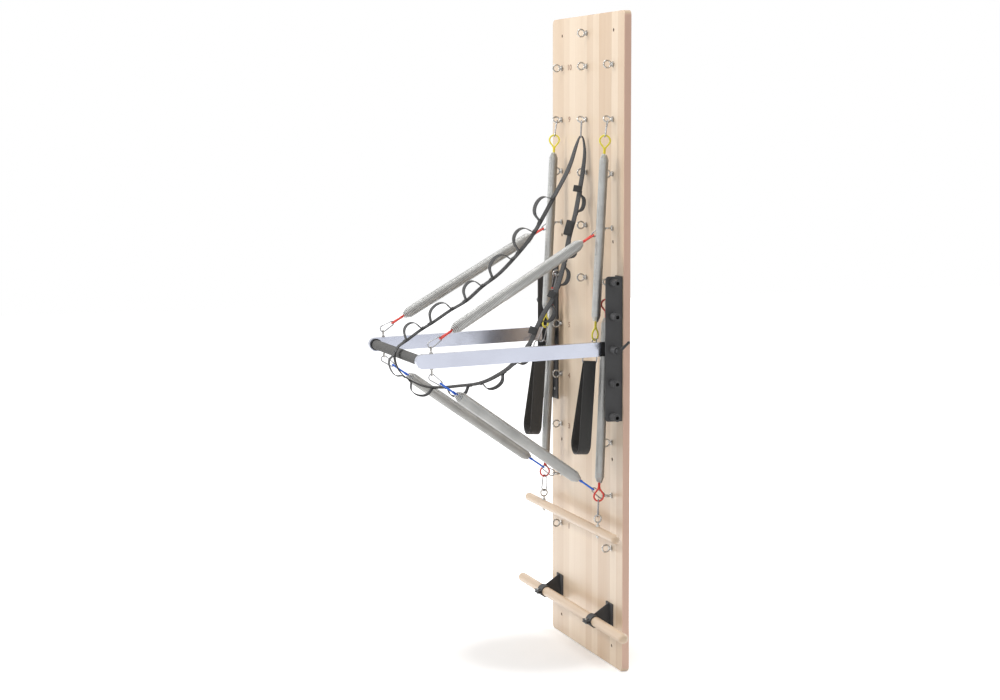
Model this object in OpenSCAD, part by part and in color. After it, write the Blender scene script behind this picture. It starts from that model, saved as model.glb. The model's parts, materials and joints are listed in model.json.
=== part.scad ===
// Pilates tower unit for a wall: a glued wooden board with three columns of eye bolts,
// a push-through bar on two arm brackets, four push springs, two spring handles,
// a roll-down bar on two springs, a foot bar and a hanging strap with hand loops.
// Millimetres. X to the right, Z up, the wall face of the board lies in Y = 0 and
// the front of the board looks towards -Y. The origin is the middle of the lower edge.

/* [Board] */
// Width of the board
board_w = 680; // [640:5:760]
// Height of the board
board_h = 2180; // [2150:5:2300]
// Thickness of the board
board_t = 24; // [22:0.5:32]
// Corner radius seen from the front
corner_r = 18; // [10:1:30]
// Rounding of the front edge
edge_r = 3; // [1:0.5:5]

/* [Wall screws] */
// Sideways place of the wall screw holes, from the middle
wall_screw_x = 243.5; // [235:0.5:250]
// Height of the lowest pair of wall screws
wall_screw_low_z = 68; // [50:1:90]
// Height of the second pair of wall screws
wall_screw_second_z = 703; // [690:1:720]
// Height of the third pair of wall screws
wall_screw_third_z = 1428; // [1415:1:1440]
// Height of the highest pair of wall screws
wall_screw_high_z = 2120; // [2080:1:2130]
// Clearance hole of a wall screw
wall_screw_hole_d = 8; // [5:0.5:10]
// Countersink of a wall screw at the front
wall_screw_head_d = 14; // [12:0.5:18]

/* [Eye bolts] */
// Sideways place of the outer eye bolt columns
column_x = 242; // [236:1:246]
// Height of the lowest row of eye bolts
row_1_z = 402; // [398:1:408]
// Spacing of the rows
row_pitch = 178.6; // [178:0.1:179]
// Height of the single eye bolt above the top row
top_eye_z = 2120; // [2090:1:2130]
// Wire thickness of an eye
eye_wire = 5.5; // [4.5:0.5:6]
// Radius of the eye's ring at the middle of its wire
eye_ring_r = 12; // [11.5:0.5:13]
// Distance from the board's face to the middle of the ring
eye_reach = 21; // [20:0.5:24]
// Diameter of the collar under the eye
eye_collar_d = 18; // [14:1:22]
// Thickness of the collar under the eye
eye_collar_t = 4; // [3:0.5:4.5]
// Diameter of the threaded shank
eye_shank_d = 6; // [5:0.5:8]
// Length of the shank inside the board
eye_shank_len = 20; // [16:1:21]
// Flange diameter of the tee nut behind each eye bolt
tee_flange_d = 20; // [16:1:24]
// Flange thickness of a tee nut
tee_flange_t = 1.5; // [1:0.5:2]
// Barrel diameter of a tee nut
tee_barrel_d = 9; // [9:0.5:11]
// Barrel length of a tee nut
tee_barrel_len = 13; // [10:1:15]

/* [Arm brackets] */
// Sideways place of the middle of the bracket's web
web_x = 330; // [326:1:334]
// Steel thickness of the bracket
plate_t = 5; // [4:0.5:6]
// Depth of the web in front of the board
bracket_depth = 59; // [55:1:66]
// Lower end of the bracket
bracket_low_z = 843; // [835:1:848]
// Upper end of the bracket
bracket_high_z = 1320; // [1314:1:1330]
// Width of the flange that lies on the board
flange_w = 51.5; // [40:0.5:60]
// Corner radius of the web
web_corner_r = 11; // [4:1:18]
// Height of the push bar's pivot
pivot_z = 1080; // [1076:1:1084]
// Distance from the board's face to the pivot
pivot_reach = 34.5; // [32:0.5:38]
// Spacing of the pivot bosses
boss_pitch = 110; // [100:1:111]
// Diameter of a pivot boss
boss_d = 24.5; // [22:0.5:28]
// Length of a pivot boss outside the web
boss_len = 45; // [30:1:50]
// Bore of a pivot boss
boss_bore_d = 12.2; // [11.2:0.1:14]
// Head diameter of a bracket screw
bracket_screw_head_d = 11; // [9:0.5:12]

/* [Push bar] */
// Height of the arm profile
arm_h = 47; // [42:1:50]
// Thickness of the arm profile
arm_t = 22; // [16:1:24]
// Sideways place of the arm's outer face
arm_outer_x = 300; // [299:0.5:303]
// Distance from the pivot to the middle of the arm's round nose
arm_reach = 635; // [630:1:640]
// Start of the aluminium arm, from the pivot
arm_root = 27; // [26:0.5:34]
// Angle by which the bar hangs below level
bar_droop = 1.8; // [1.6:0.1:2]
// Diameter of the foam on the cross tube
grip_d = 33; // [28:1:38]
// Diameter of the steel cross tube
cross_tube_d = 22; // [18:1:25]
// Wall of the steel cross tube
cross_tube_wall = 2; // [1.5:0.5:3]
// Diameter of the pivot pin
pivot_pin_d = 12; // [10:0.5:12]
// Distance from the pivot to the swivel eyes on the arms
arm_eye_reach = 606; // [603:1:609]
// Length of a clamp lever
lever_len = 47; // [40:1:60]

/* [Springs] */
// Outer diameter of a push spring
push_spring_d = 38; // [34:0.5:40]
// Wire of a push spring
push_wire = 4.5; // [4:0.1:5]
// Length of a push spring
push_spring_len = 540; // [520:1:550]
// Outer diameter of a hanging spring
hang_spring_d = 31; // [28:0.5:32]
// Wire of a hanging spring
hang_wire = 3.6; // [3.2:0.1:4]
// Length of a hanging spring
hang_spring_len = 552; // [540:1:556]
// Tapered turns at each end of a spring
end_turns = 4; // [3:1:5]
// Gap between two turns of the tapered end
turn_gap = 0.7; // [0.6:0.1:1]
// Thickness of the safety cord
cord_d = 6; // [5:0.5:6.5]

/* [Snap hooks] */
// Wire of a snap hook
hook_wire = 4; // [3.5:0.5:4.5]
// Length of a snap hook of a hanging spring
hook_len = 62; // [56:1:66]
// Length of a snap hook of a push spring
push_hook_len = 56; // [54:1:60]
// Width of a snap hook at its round end
hook_wide = 25; // [24:1:28]
// Width of a snap hook at its narrow end
hook_narrow = 18; // [17.5:0.5:20]

/* [Handles] */
// Width of the handle webbing
handle_strap_w = 42; // [36:1:46]
// Thickness of the handle webbing
handle_strap_t = 3; // [2.5:0.5:4]
// Length of the handle loop
handle_len = 318; // [300:1:330]
// Radius at the bottom of the handle loop
handle_bottom_r = 39; // [30:1:42]
// Radius at the top of the handle loop
handle_top_r = 8; // [7:0.5:10]

/* [Bars] */
// Diameter of the roll-down bar
roll_bar_d = 30; // [26:1:34]
// Length of the roll-down bar
roll_bar_len = 875; // [800:5:900]
// Distance from the board's face to the roll-down bar
roll_bar_reach = 59; // [55:1:62]
// Sideways place of the eye bolts in the roll-down bar
roll_eye_x = 266; // [262:1:270]
// Diameter of the foot bar
foot_bar_d = 34; // [30:1:38]
// Length of the foot bar
foot_bar_len = 1020; // [900:5:1060]
// Height of the foot bar
foot_bar_z = 156; // [150:1:165]
// Distance from the board's face to the foot bar
foot_bar_reach = 59; // [54:1:70]
// Sideways shift of the foot bar clamps from the eye bolt columns
foot_clamp_shift = -13; // [-20:1:0]
// Width of a foot bar clamp
foot_clamp_w = 40; // [30:1:50]
// Steel thickness of a foot bar clamp
foot_clamp_t = 4; // [3:0.5:5]

/* [Strap] */
// Width of the webbing of the long strap
strap_w = 25; // [20:1:28]
// Thickness of the webbing of the long strap
strap_t = 3; // [2:0.5:4]
// Height of a hand loop above the strap
hand_loop_h = 50; // [40:1:55]

/* [Hidden] */
$fn = 48;

LEFT = -1;
RIGHT = 1;
// Gap between pieces that move past each other, and of a shaft in its bore
clear = 0.3;
fit = 0.05;
front = -board_t;
rows = 10;
// Rows that carry the springs, counted from below
red_row = 7;
blue_row = 2;
handle_row = 9;
roll_row = 6;
strap_row = 9;

function row_z(row) = row_1_z + (row - 1) * row_pitch;
// A place given by its side, its distance in front of the board and its height
function place(x, reach, z) = [x, front - reach, z];

// Moves the upright local Z axis to the line from a to b, with local X kept near X
module along(a, b) {
    d = b - a;
    translate(a) rotate([atan2(-d.y, d.z), 0, 0]) rotate([0, asin(d.x / norm(d)), 0])
        children();
}

// Point at a distance from a towards b
function towards(a, b, distance) = a + (b - a) * distance / norm(b - a);

// Rounded rectangle from squares and circles, centred
module rounded_rect(w, h, r) {
    square([w - 2 * r, h], center = true);
    square([w, h - 2 * r], center = true);
    for (x = [-1, 1], y = [-1, 1])
        translate([x * (w / 2 - r), y * (h / 2 - r)]) circle(r);
}

// Upright slab whose back is the wall face
module slab(inset, depth) {
    translate([0, 0, board_h / 2]) rotate([90, 0, 0]) linear_extrude(depth)
        rounded_rect(board_w - 2 * inset, board_h - 2 * inset, corner_r - inset);
}

module board_blank() {
    edge_x = board_w / 2 - edge_r;
    corner_x = board_w / 2 - corner_r;
    corner_z = board_h / 2 - corner_r;
    slab(0, board_t - edge_r);
    slab(edge_r, board_t);
    translate([0, -(board_t - edge_r), board_h / 2]) {
        for (s = [LEFT, RIGHT]) {
            translate([s * edge_x, 0, 0]) cylinder(r = edge_r, h = 2 * corner_z, center = true);
            translate([0, 0, s * (board_h / 2 - edge_r)]) rotate([0, 90, 0])
                cylinder(r = edge_r, h = 2 * corner_x, center = true);
            for (v = [-1, 1])
                translate([s * corner_x, 0, v * corner_z]) rotate([90, 0, 0])
                    rotate_extrude() translate([corner_r - edge_r, 0]) circle(edge_r, $fn = 24);
        }
    }
}

// Places of the eye bolts: side, height, and turn of the ring about its shank
centre_rows = [for (row = [6 : rows]) row];
hung_turn = 35;
function eye_turn(s, row) = row == red_row || row == blue_row ? 90
    : row == handle_row ? hung_turn : row == roll_row ? s * hung_turn : 0;
left_eyes = [for (row = [1 : rows]) [-column_x, row_z(row), eye_turn(LEFT, row)]];
right_eyes = [for (row = [1 : rows]) [column_x, row_z(row), eye_turn(RIGHT, row)]];
centre_eyes = concat(
    [for (row = centre_rows) [0, row_z(row), row == strap_row ? hung_turn : 0]],
    [[0, top_eye_z, 0]]);
all_eyes = concat(left_eyes, right_eyes, centre_eyes);

wall_screw_rows = [wall_screw_low_z, wall_screw_second_z, wall_screw_third_z, wall_screw_high_z];

// Screws of the brackets' flanges
bracket_screw_rows = [bracket_low_z + 35, pivot_z + 25, bracket_high_z - 35];
bracket_screw_x = web_x - plate_t / 2 - flange_w / 2;
bracket_screw_len = 18;
bracket_screw_d = 4.5;

// Screws of the foot bar's clamps
foot_plate_w = 60;
foot_plate_drop = 34;
foot_plate_rise = 57;
foot_plate_low = foot_bar_z - foot_plate_drop;
foot_plate_high = foot_bar_z + foot_plate_rise;
foot_screw_rows = [foot_plate_low + 11, foot_plate_high - 11];
function foot_clamp_x(s) = s * column_x + foot_clamp_shift;
// Each clamp has one screw on either side of its gusset
foot_screw_side = 16;
function foot_screw_x(s, z) = foot_clamp_x(s)
    + (z == foot_screw_rows[0] ? foot_screw_side : -foot_screw_side);

module drill(x, z, d, depth = board_t + 1) {
    translate([x, front - 1, z]) rotate([-90, 0, 0]) cylinder(d = d, h = depth + 1);
}

module board() {
    color("burlywood") difference() {
        board_blank();
        for (e = all_eyes) {
            drill(e.x, e.y, eye_shank_d + 2 * fit);
            translate([e.x, 0, e.y]) rotate([90, 0, 0]) {
                translate([0, 0, -1]) cylinder(d = tee_flange_d + 0.4, h = tee_flange_t + 1);
                cylinder(d = tee_barrel_d + 2 * fit, h = tee_flange_t + tee_barrel_len + 0.5);
            }
        }
        for (s = [LEFT, RIGHT], z = wall_screw_rows) {
            drill(s * wall_screw_x, z, wall_screw_hole_d);
            translate([s * wall_screw_x, front - 0.01, z]) rotate([-90, 0, 0])
                cylinder(d1 = wall_screw_head_d, d2 = wall_screw_hole_d,
                         h = (wall_screw_head_d - wall_screw_hole_d) / 2);
        }
        for (s = [LEFT, RIGHT], z = bracket_screw_rows)
            drill(s * bracket_screw_x, z, bracket_screw_d + 2 * fit, bracket_screw_len);
        for (s = [LEFT, RIGHT], z = foot_screw_rows)
            drill(foot_screw_x(s, z), z, bracket_screw_d + 2 * fit, bracket_screw_len);
    }
}

// Eye bolt along local Z, with the board's face at Z = 0
module eye_bolt(turn) {
    translate([0, 0, -eye_shank_len]) cylinder(d = eye_shank_d, h = eye_shank_len + 1);
    cylinder(d = eye_collar_d, h = eye_collar_t);
    translate([0, 0, eye_collar_t - 0.5])
        cylinder(d1 = 11, d2 = 7, h = eye_reach - eye_ring_r - eye_collar_t + 1);
    translate([0, 0, eye_reach]) rotate([0, 0, turn]) rotate([0, 90, 0])
        rotate_extrude() translate([eye_ring_r, 0]) circle(d = eye_wire, $fn = 24);
}

module eye_row(eyes) {
    color("silver") for (e = eyes)
        translate([e.x, front, e.y]) rotate([90, 0, 0]) eye_bolt(e.z);
}
module eye_bolts_left() { eye_row(left_eyes); }
module eye_bolts_centre() { eye_row(centre_eyes); }
module eye_bolts_right() { eye_row(right_eyes); }

module tee_nuts() {
    color("gray") for (e = all_eyes)
        translate([e.x, 0, e.y]) rotate([90, 0, 0]) difference() {
            union() {
                cylinder(d = tee_flange_d, h = tee_flange_t);
                cylinder(d = tee_barrel_d, h = tee_flange_t + tee_barrel_len);
            }
            translate([0, 0, -1])
                cylinder(d = eye_shank_d + 2 * fit, h = tee_flange_t + tee_barrel_len + 2);
        }
}

// Outline of the web: straight at the board, rounded at the front
module web_outline() {
    h = bracket_high_z - bracket_low_z;
    square([bracket_depth - web_corner_r, h]);
    translate([0, web_corner_r]) square([bracket_depth, h - 2 * web_corner_r]);
    for (z = [web_corner_r, h - web_corner_r])
        translate([bracket_depth - web_corner_r, z]) circle(web_corner_r);
}

boss_rows = [for (k = [-2 : 2]) pivot_z + k * boss_pitch];

module arm_bracket(s) {
    color("dimgray") difference() {
        union() {
            translate([s * web_x - plate_t / 2, front, bracket_low_z])
                rotate([90, 0, -90]) mirror([0, 0, 1]) linear_extrude(plate_t) web_outline();
            translate([s * (web_x - plate_t / 2 - flange_w / 2), front - plate_t / 2,
                       (bracket_low_z + bracket_high_z) / 2])
                cube([flange_w, plate_t, bracket_high_z - bracket_low_z], center = true);
        }
        for (z = bracket_screw_rows)
            drill_plate(s * bracket_screw_x, z, bracket_screw_d + 0.4);
        for (z = boss_rows)
            translate([s * web_x, front - pivot_reach, z]) rotate([0, 90, 0])
                cylinder(d = boss_bore_d, h = plate_t + 2, center = true);
    }
}
module drill_plate(x, z, d) {
    translate([x, front + 1, z]) rotate([90, 0, 0]) cylinder(d = d, h = plate_t + 3);
}
module arm_bracket_left() { arm_bracket(LEFT); }
module arm_bracket_right() { arm_bracket(RIGHT); }

module pivot_bosses(s) {
    color("dimgray") for (z = boss_rows)
        translate([s * (web_x + plate_t / 2 + boss_len / 2), front - pivot_reach, z])
            rotate([0, 90, 0]) difference() {
                cylinder(d = boss_d, h = boss_len, center = true);
                cylinder(d = boss_bore_d, h = boss_len + 2, center = true);
            }
}
module pivot_bosses_left() { pivot_bosses(LEFT); }
module pivot_bosses_right() { pivot_bosses(RIGHT); }

// Round-headed screw along local Z, with its head's seat at Z = 0
module screw(head_d, head_h, d, len) {
    translate([0, 0, -len]) cylinder(d = d, h = len + 0.5);
    difference() {
        cylinder(d1 = head_d, d2 = head_d * 0.7, h = head_h);
        translate([0, 0, head_h - 1.2]) cylinder(d = 4, h = 2, $fn = 6);
    }
}

module bracket_screws() {
    color("silver") for (s = [LEFT, RIGHT], z = bracket_screw_rows)
        translate([s * bracket_screw_x, front - plate_t, z]) rotate([90, 0, 0])
            screw(bracket_screw_head_d, 3.5, bracket_screw_d, plate_t + bracket_screw_len - 2);
}

// The pivot pins end inside the arm blocks, clear of the springs beside them
pin_inner_x = arm_outer_x - arm_t + 2;
boss_end_x = web_x + plate_t / 2 + boss_len;
lever_bore = 8;
pin_outer_x = boss_end_x + lever_bore;

module pivot_pins() {
    color("silver") for (s = [LEFT, RIGHT])
        translate([s * pin_inner_x, front - pivot_reach, pivot_z]) rotate([0, s * 90, 0])
            cylinder(d = pivot_pin_d, h = pin_outer_x - pin_inner_x);
}

// Bar with round ends along X
module round_bar(d, len) {
    body = len - d;
    rotate([0, 90, 0]) cylinder(d = d, h = body, center = true);
    for (s = [LEFT, RIGHT]) translate([s * body / 2, 0, 0]) sphere(d = d);
}

module foot_bar() {
    color("wheat") translate(place(0, foot_bar_reach, foot_bar_z))
        round_bar(foot_bar_d, foot_bar_len);
}

foot_ring_d = foot_bar_d + 2 * fit + 2 * foot_clamp_t;
foot_lug_len = 13;
foot_lug_gap = 3;
foot_bolt_d = 5;

// Sloping side wall between the plate on the board and the ring
module foot_gusset_outline() {
    polygon([[0, foot_plate_low - foot_bar_z], [0, foot_plate_high - foot_bar_z],
             [6, foot_plate_high - foot_bar_z], [foot_bar_reach, foot_ring_d / 2],
             [foot_bar_reach, -foot_ring_d / 2], [12, foot_plate_low - foot_bar_z]]);
}

module foot_clamp(s) {
    x = foot_clamp_x(s);
    lug_reach = foot_ring_d / 2 - 1;
    color("dimgray") difference() {
        union() {
            translate([x, front - foot_clamp_t / 2, (foot_plate_low + foot_plate_high) / 2])
                cube([foot_plate_w, foot_clamp_t, foot_plate_high - foot_plate_low], center = true);
            translate([x - foot_clamp_t / 2, front, foot_bar_z])
                rotate([90, 0, -90]) mirror([0, 0, 1])
                    linear_extrude(foot_clamp_t) foot_gusset_outline();
            translate(place(x, foot_bar_reach, foot_bar_z)) rotate([0, 90, 0])
                cylinder(d = foot_ring_d, h = foot_clamp_w, center = true);
            translate(place(x, foot_bar_reach + lug_reach, foot_bar_z))
                translate([0, -foot_lug_len / 2, 0]) cube(
                    [foot_clamp_w, foot_lug_len, foot_lug_gap + 2 * foot_clamp_t], center = true);
        }
        translate(place(x, foot_bar_reach, foot_bar_z)) rotate([0, 90, 0])
            cylinder(d = foot_bar_d + 2 * fit, h = foot_plate_w + 2, center = true);
        translate(place(x, foot_bar_reach + lug_reach, foot_bar_z))
            cube([foot_plate_w, 2 * foot_lug_len + 4, foot_lug_gap], center = true);
        for (z = foot_screw_rows)
            translate([foot_screw_x(s, z), front + 1, z]) rotate([90, 0, 0])
                cylinder(d = bracket_screw_d + 0.4, h = foot_clamp_t + 8);
        translate(place(x, foot_bar_reach + lug_reach + foot_lug_len / 2, foot_bar_z))
            cylinder(d = foot_bolt_d + 2 * fit, h = foot_ring_d, center = true);
    }
}
module foot_clamp_left() { foot_clamp(LEFT); }
module foot_clamp_right() { foot_clamp(RIGHT); }

module foot_clamp_screws() {
    color("silver") for (s = [LEFT, RIGHT], z = foot_screw_rows)
        translate([foot_screw_x(s, z), front - foot_clamp_t, z]) rotate([90, 0, 0])
            screw(10, 3, bracket_screw_d, foot_clamp_t + bracket_screw_len - 2);
}

module foot_clamp_bolts() {
    stack = foot_lug_gap + 2 * foot_clamp_t;
    color("silver") for (s = [LEFT, RIGHT])
        translate(place(foot_clamp_x(s), foot_bar_reach + foot_ring_d / 2 - 1 + foot_lug_len / 2,
                        foot_bar_z)) {
            cylinder(d = foot_bolt_d, h = stack + 8, center = true);
            translate([0, 0, stack / 2]) cylinder(d = 9.5, h = 4);
            translate([0, 0, -stack / 2 - 4]) cylinder(d = 9.5, h = 4, $fn = 6);
        }
}

// Places in the push bar: local Y runs forwards from the pivot, local Z is up
module push_bar_frame() {
    translate([0, front - pivot_reach, pivot_z]) rotate([bar_droop, 0, 0]) mirror([0, 1, 0])
        children();
}
// The same as a point: side, distance from the pivot, height above the arm's middle
function on_bar(x, reach, rise) = [x,
    front - pivot_reach - reach * cos(bar_droop) - rise * sin(bar_droop),
    pivot_z - reach * sin(bar_droop) + rise * cos(bar_droop)];

arm_mid_x = arm_outer_x - arm_t / 2;
cross_plug_depth = 14;
arm_eye_hole_d = 5;

module push_arm(s) {
    color("lightsteelblue") push_bar_frame() difference() {
        translate([s * arm_mid_x, 0, 0]) rotate([0, 90, 0]) union() {
            translate([0, (arm_root + arm_reach) / 2, 0])
                cube([arm_h, arm_reach - arm_root, arm_t], center = true);
            translate([0, arm_reach, 0]) cylinder(d = arm_h, h = arm_t, center = true, $fn = 64);
        }
        translate([s * (arm_outer_x - arm_t + cross_plug_depth / 2 - 1), arm_reach, 0])
            rotate([0, 90, 0])
                cylinder(d = cross_tube_d + 2 * fit, h = cross_plug_depth + 2, center = true);
        for (v = [-1, 1])
            translate([s * arm_mid_x, arm_eye_reach, v * (arm_h / 2 - 6)])
                cylinder(d = arm_eye_hole_d + 2 * fit, h = 14, center = true);
    }
}
module push_arm_left() { push_arm(LEFT); }
module push_arm_right() { push_arm(RIGHT); }

// Black block that carries the arm on its pivot, with a hub that reaches the web
block_t = arm_t - 2;
hub_d = 30;
hub_outer_x = web_x - plate_t / 2 - clear;

module arm_block(s) {
    color("black") push_bar_frame() difference() {
        union() {
            translate([s * arm_mid_x, 0, 0]) rotate([0, 90, 0]) {
                cylinder(d = arm_h - 1, h = block_t, center = true, $fn = 64);
                translate([0, arm_root / 2 - clear / 2, 0])
                    cube([arm_h - 1, arm_root - clear, block_t], center = true);
            }
            translate([s * arm_mid_x, 0, 0]) rotate([0, s * 90, 0])
                cylinder(d = hub_d, h = hub_outer_x - arm_mid_x);
        }
        translate([s * arm_mid_x, 0, 0]) rotate([0, 90, 0])
            cylinder(d = pivot_pin_d + 2 * fit, h = 2 * (web_x - arm_mid_x) + arm_h, center = true);
    }
}
module arm_block_left() { arm_block(LEFT); }
module arm_block_right() { arm_block(RIGHT); }

collar_t = 3;
grip_half = arm_outer_x - arm_t - collar_t - 0.5;

module cross_tube() {
    half = arm_outer_x - arm_t + cross_plug_depth - clear;
    color("silver") push_bar_frame() translate([0, arm_reach, 0]) rotate([0, 90, 0])
        difference() {
            cylinder(d = cross_tube_d, h = 2 * half, center = true);
            cylinder(d = cross_tube_d - 2 * cross_tube_wall, h = 2 * half + 2, center = true);
        }
}

module foam_grip() {
    color("dimgray") push_bar_frame() translate([0, arm_reach, 0]) rotate([0, 90, 0])
        difference() {
            cylinder(d = grip_d, h = 2 * grip_half, center = true);
            cylinder(d = cross_tube_d + 2 * fit, h = 2 * grip_half + 2, center = true);
        }
}

module grip_collars() {
    color("black") push_bar_frame() for (s = [LEFT, RIGHT])
        translate([s * (grip_half + 0.2 + collar_t / 2), arm_reach, 0]) rotate([0, 90, 0])
            difference() {
                cylinder(d = grip_d + 7, h = collar_t, center = true);
                cylinder(d = cross_tube_d + 2 * fit, h = collar_t + 2, center = true);
            }
}

// Swivel eye on an arm: a stud, a base and an oblong link turned to meet the hook
arm_eye_wire = 3.5;
arm_eye_w = 16;
arm_eye_len = 22;
arm_eye_base = 5;
arm_eye_turn = 90;

module arm_eyes() {
    color("silver") for (s = [LEFT, RIGHT], v = [-1, 1])
        push_bar_frame() translate([s * arm_mid_x, arm_eye_reach, v * arm_h / 2])
            mirror([0, 0, v < 0 ? 1 : 0]) {
                translate([0, 0, -10]) cylinder(d = arm_eye_hole_d, h = 11);
                cylinder(d = 11, h = arm_eye_base);
                translate([0, 0, arm_eye_base - 1]) rotate([0, 0, arm_eye_turn])
                    link(arm_eye_len, arm_eye_w, arm_eye_w - 3, arm_eye_wire);
            }
}

// Clamp lever on the pin's outer end: a hub, a tapered arm and a round tip
lever_hub_len = 20;
right_lever_angle = 135;
left_lever_angle = -45;

module clamp_lever(s, angle) {
    color("black") translate([s * (boss_end_x + clear), front - pivot_reach, pivot_z])
        rotate([0, s * 90, 0]) rotate([0, 0, s * angle]) {
            difference() {
                cylinder(d = 19, h = lever_hub_len);
                translate([0, 0, -1])
                    cylinder(d = pivot_pin_d + 2 * fit, h = lever_bore + 1 + clear);
            }
            translate([0, 0, lever_hub_len - 5.6]) rotate([0, 80, 0]) {
                cylinder(d1 = 11, d2 = 8, h = lever_len - 5);
                translate([0, 0, lever_len - 5]) sphere(d = 10);
            }
        }
}
module clamp_lever_left() { clamp_lever(LEFT, left_lever_angle); }
module clamp_lever_right() { clamp_lever(RIGHT, right_lever_angle); }

// Closed link in the local YZ plane, from Z = 0 to its length, as two arcs joined by
// straight legs: w1 wide at the start and w2 wide at the end. It is round wire, or
// webbing of the width flat. With a gate, the leg at +Y is cut off at both ends of a
// separate thinner bar. The legs reach a little into the arcs and are a hair thicker.
seam = 0.1;
leg_overlap = 0.3;
gate_stub = 5;

module section(wire, flat, extra = 0) {
    if (flat > 0) square([wire + extra, flat + extra], center = true);
    else circle(d = wire + extra, $fn = 24);
}
module straight(wire, flat, len) {
    if (flat > 0) translate([0, 0, len / 2])
        cube([wire + seam, flat + seam, len], center = true);
    else cylinder(d = wire + seam, h = len);
}

module link(len, w1, w2, wire, gate = false, flat = 0) {
    r1 = (w1 - wire) / 2;
    r2 = (w2 - wire) / 2;
    c1 = r1 + wire / 2;
    c2 = len - r2 - wire / 2;
    tilt = asin((r1 - r2) / (c2 - c1));
    leg = (c2 - c1) * cos(tilt) + 2 * leg_overlap;
    rotate([90, 0, 90]) {
        translate([0, c1, 0]) rotate([0, 0, 180 - tilt])
            rotate_extrude(angle = 180 + 2 * tilt) translate([r1, 0]) section(wire, flat);
        translate([0, c2, 0]) rotate([0, 0, tilt])
            rotate_extrude(angle = 180 - 2 * tilt) translate([r2, 0]) section(wire, flat);
        for (s = [-1, 1])
            translate([s * r1 * cos(tilt), c1 + r1 * sin(tilt), 0])
                rotate([0, 0, s * tilt]) rotate([-90, 0, 0]) translate([0, 0, -leg_overlap])
                    if (gate && s > 0) {
                        straight(wire, flat, gate_stub);
                        translate([0, 0, gate_stub + clear])
                            cylinder(d = wire * 0.75, h = leg - 2 * gate_stub - 2 * clear);
                        translate([0, 0, leg - gate_stub]) straight(wire, flat, gate_stub);
                    } else straight(wire, flat, leg);
    }
}

module snap_hook(spin, len = hook_len) {
    rotate([0, 0, spin]) link(len, hook_wide, hook_narrow, hook_wire, gate = true);
}

// Safety cord where it leaves a spring: a bound neck with a knot at each end, the inner
// knot held by the spring's mouth, and a loop. The mouth is at Z = 0, the loop at -Z.
neck_d = 9;
throat_knot_d = 12;
module cord_loop(loop_len, loop_w, neck_len, knot_d, knot_z, spin) {
    r = (loop_w - cord_d) / 2;
    c = r + cord_d / 2;
    tilt = asin(r / (loop_len - c));
    leg = (loop_len - c) * cos(tilt) + leg_overlap;
    rotate([0, 0, spin]) translate([0, 0, -neck_len - loop_len]) rotate([90, 0, 90]) {
        translate([0, c, 0]) rotate([0, 0, 180 - tilt])
            rotate_extrude(angle = 180 + 2 * tilt) translate([r, 0]) circle(d = cord_d, $fn = 24);
        for (s = [-1, 1])
            translate([s * r * cos(tilt), c + r * sin(tilt), 0])
                rotate([0, 0, s * tilt]) rotate([-90, 0, 0]) translate([0, 0, -leg_overlap])
                    cylinder(d = cord_d + seam, h = leg);
    }
    translate([0, 0, -neck_len]) {
        sphere(d = throat_knot_d);
        cylinder(d = neck_d, h = neck_len + knot_z);
    }
    translate([0, 0, knot_z]) sphere(d = knot_d);
}

// Rings of points joined to one closed tube
module tube_from(rings) {
    n = len(rings[0]);
    m = len(rings);
    points = [for (ring = rings, p = ring) p];
    sides = [for (i = [0 : m - 2], j = [0 : n - 1]) each [
        [i * n + j, (i + 1) * n + j, i * n + (j + 1) % n],
        [i * n + (j + 1) % n, (i + 1) * n + j, (i + 1) * n + (j + 1) % n]]];
    first = [for (j = [1 : n - 2]) [0, j, j + 1]];
    last = [for (j = [1 : n - 2]) [(m - 1) * n, (m - 1) * n + j + 1, (m - 1) * n + j]];
    polyhedron(points, concat(sides, first, last));
}

// Tapered end of a spring: a coil that narrows from the barrel to the mouth
steps_per_turn = 8;
wire_sides = 6;
function turn_height(wire) = end_turns * (wire + turn_gap);
function coil_centre(i, d, wire, mouth_r) =
    let (t = i / (end_turns * steps_per_turn), a = 360 * i / steps_per_turn,
         r = mouth_r + ((d - wire) / 2 - mouth_r) * t)
    [r * cos(a), r * sin(a), wire / 2 + t * turn_height(wire)];
function coil_ring(i, d, wire, mouth_r) =
    let (c = coil_centre(i, d, wire, mouth_r), a = atan2(c.y, c.x))
    [for (k = [0 : wire_sides - 1]) let (b = -360 * k / wire_sides, h = wire / 2)
        c + [h * cos(b) * cos(a), h * cos(b) * sin(a), h * sin(b)]];

module end_coil(d, wire, mouth_r) {
    tube_from([for (i = [0 : end_turns * steps_per_turn]) coil_ring(i, d, wire, mouth_r)]);
}

// Least gap of a tapered end to itself, taken between its points one turn apart
function coil_gap(d, wire, mouth_r) = min([
    for (i = [0 : (end_turns - 1) * steps_per_turn])
        norm(coil_centre(i + steps_per_turn, d, wire, mouth_r)
             - coil_centre(i, d, wire, mouth_r)) - wire]);

// Whole spring along local Z: a close-wound barrel between two tapered ends
module spring(d, wire, spring_len, mouth_r) {
    taper = turn_height(wire) + wire + clear;
    translate([0, 0, taper]) difference() {
        cylinder(d = d, h = spring_len - 2 * taper);
        translate([0, 0, -1]) cylinder(d = d - 2 * wire, h = spring_len - 2 * taper + 2);
    }
    end_coil(d, wire, mouth_r);
    translate([0, 0, spring_len]) rotate([180, 0, 0]) end_coil(d, wire, mouth_r);
}

push_mouth_r = neck_d / 2 + push_wire / 2 + 0.6;
hang_mouth_r = neck_d / 2 + hang_wire / 2 + 0.6;
push_taper = turn_height(push_wire) + push_wire + clear;
hang_taper = turn_height(hang_wire) + hang_wire + clear;
echo(least_gap_push = coil_gap(push_spring_d, push_wire, push_mouth_r));
echo(least_gap_hang = coil_gap(hang_spring_d, hang_wire, hang_mouth_r));

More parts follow.
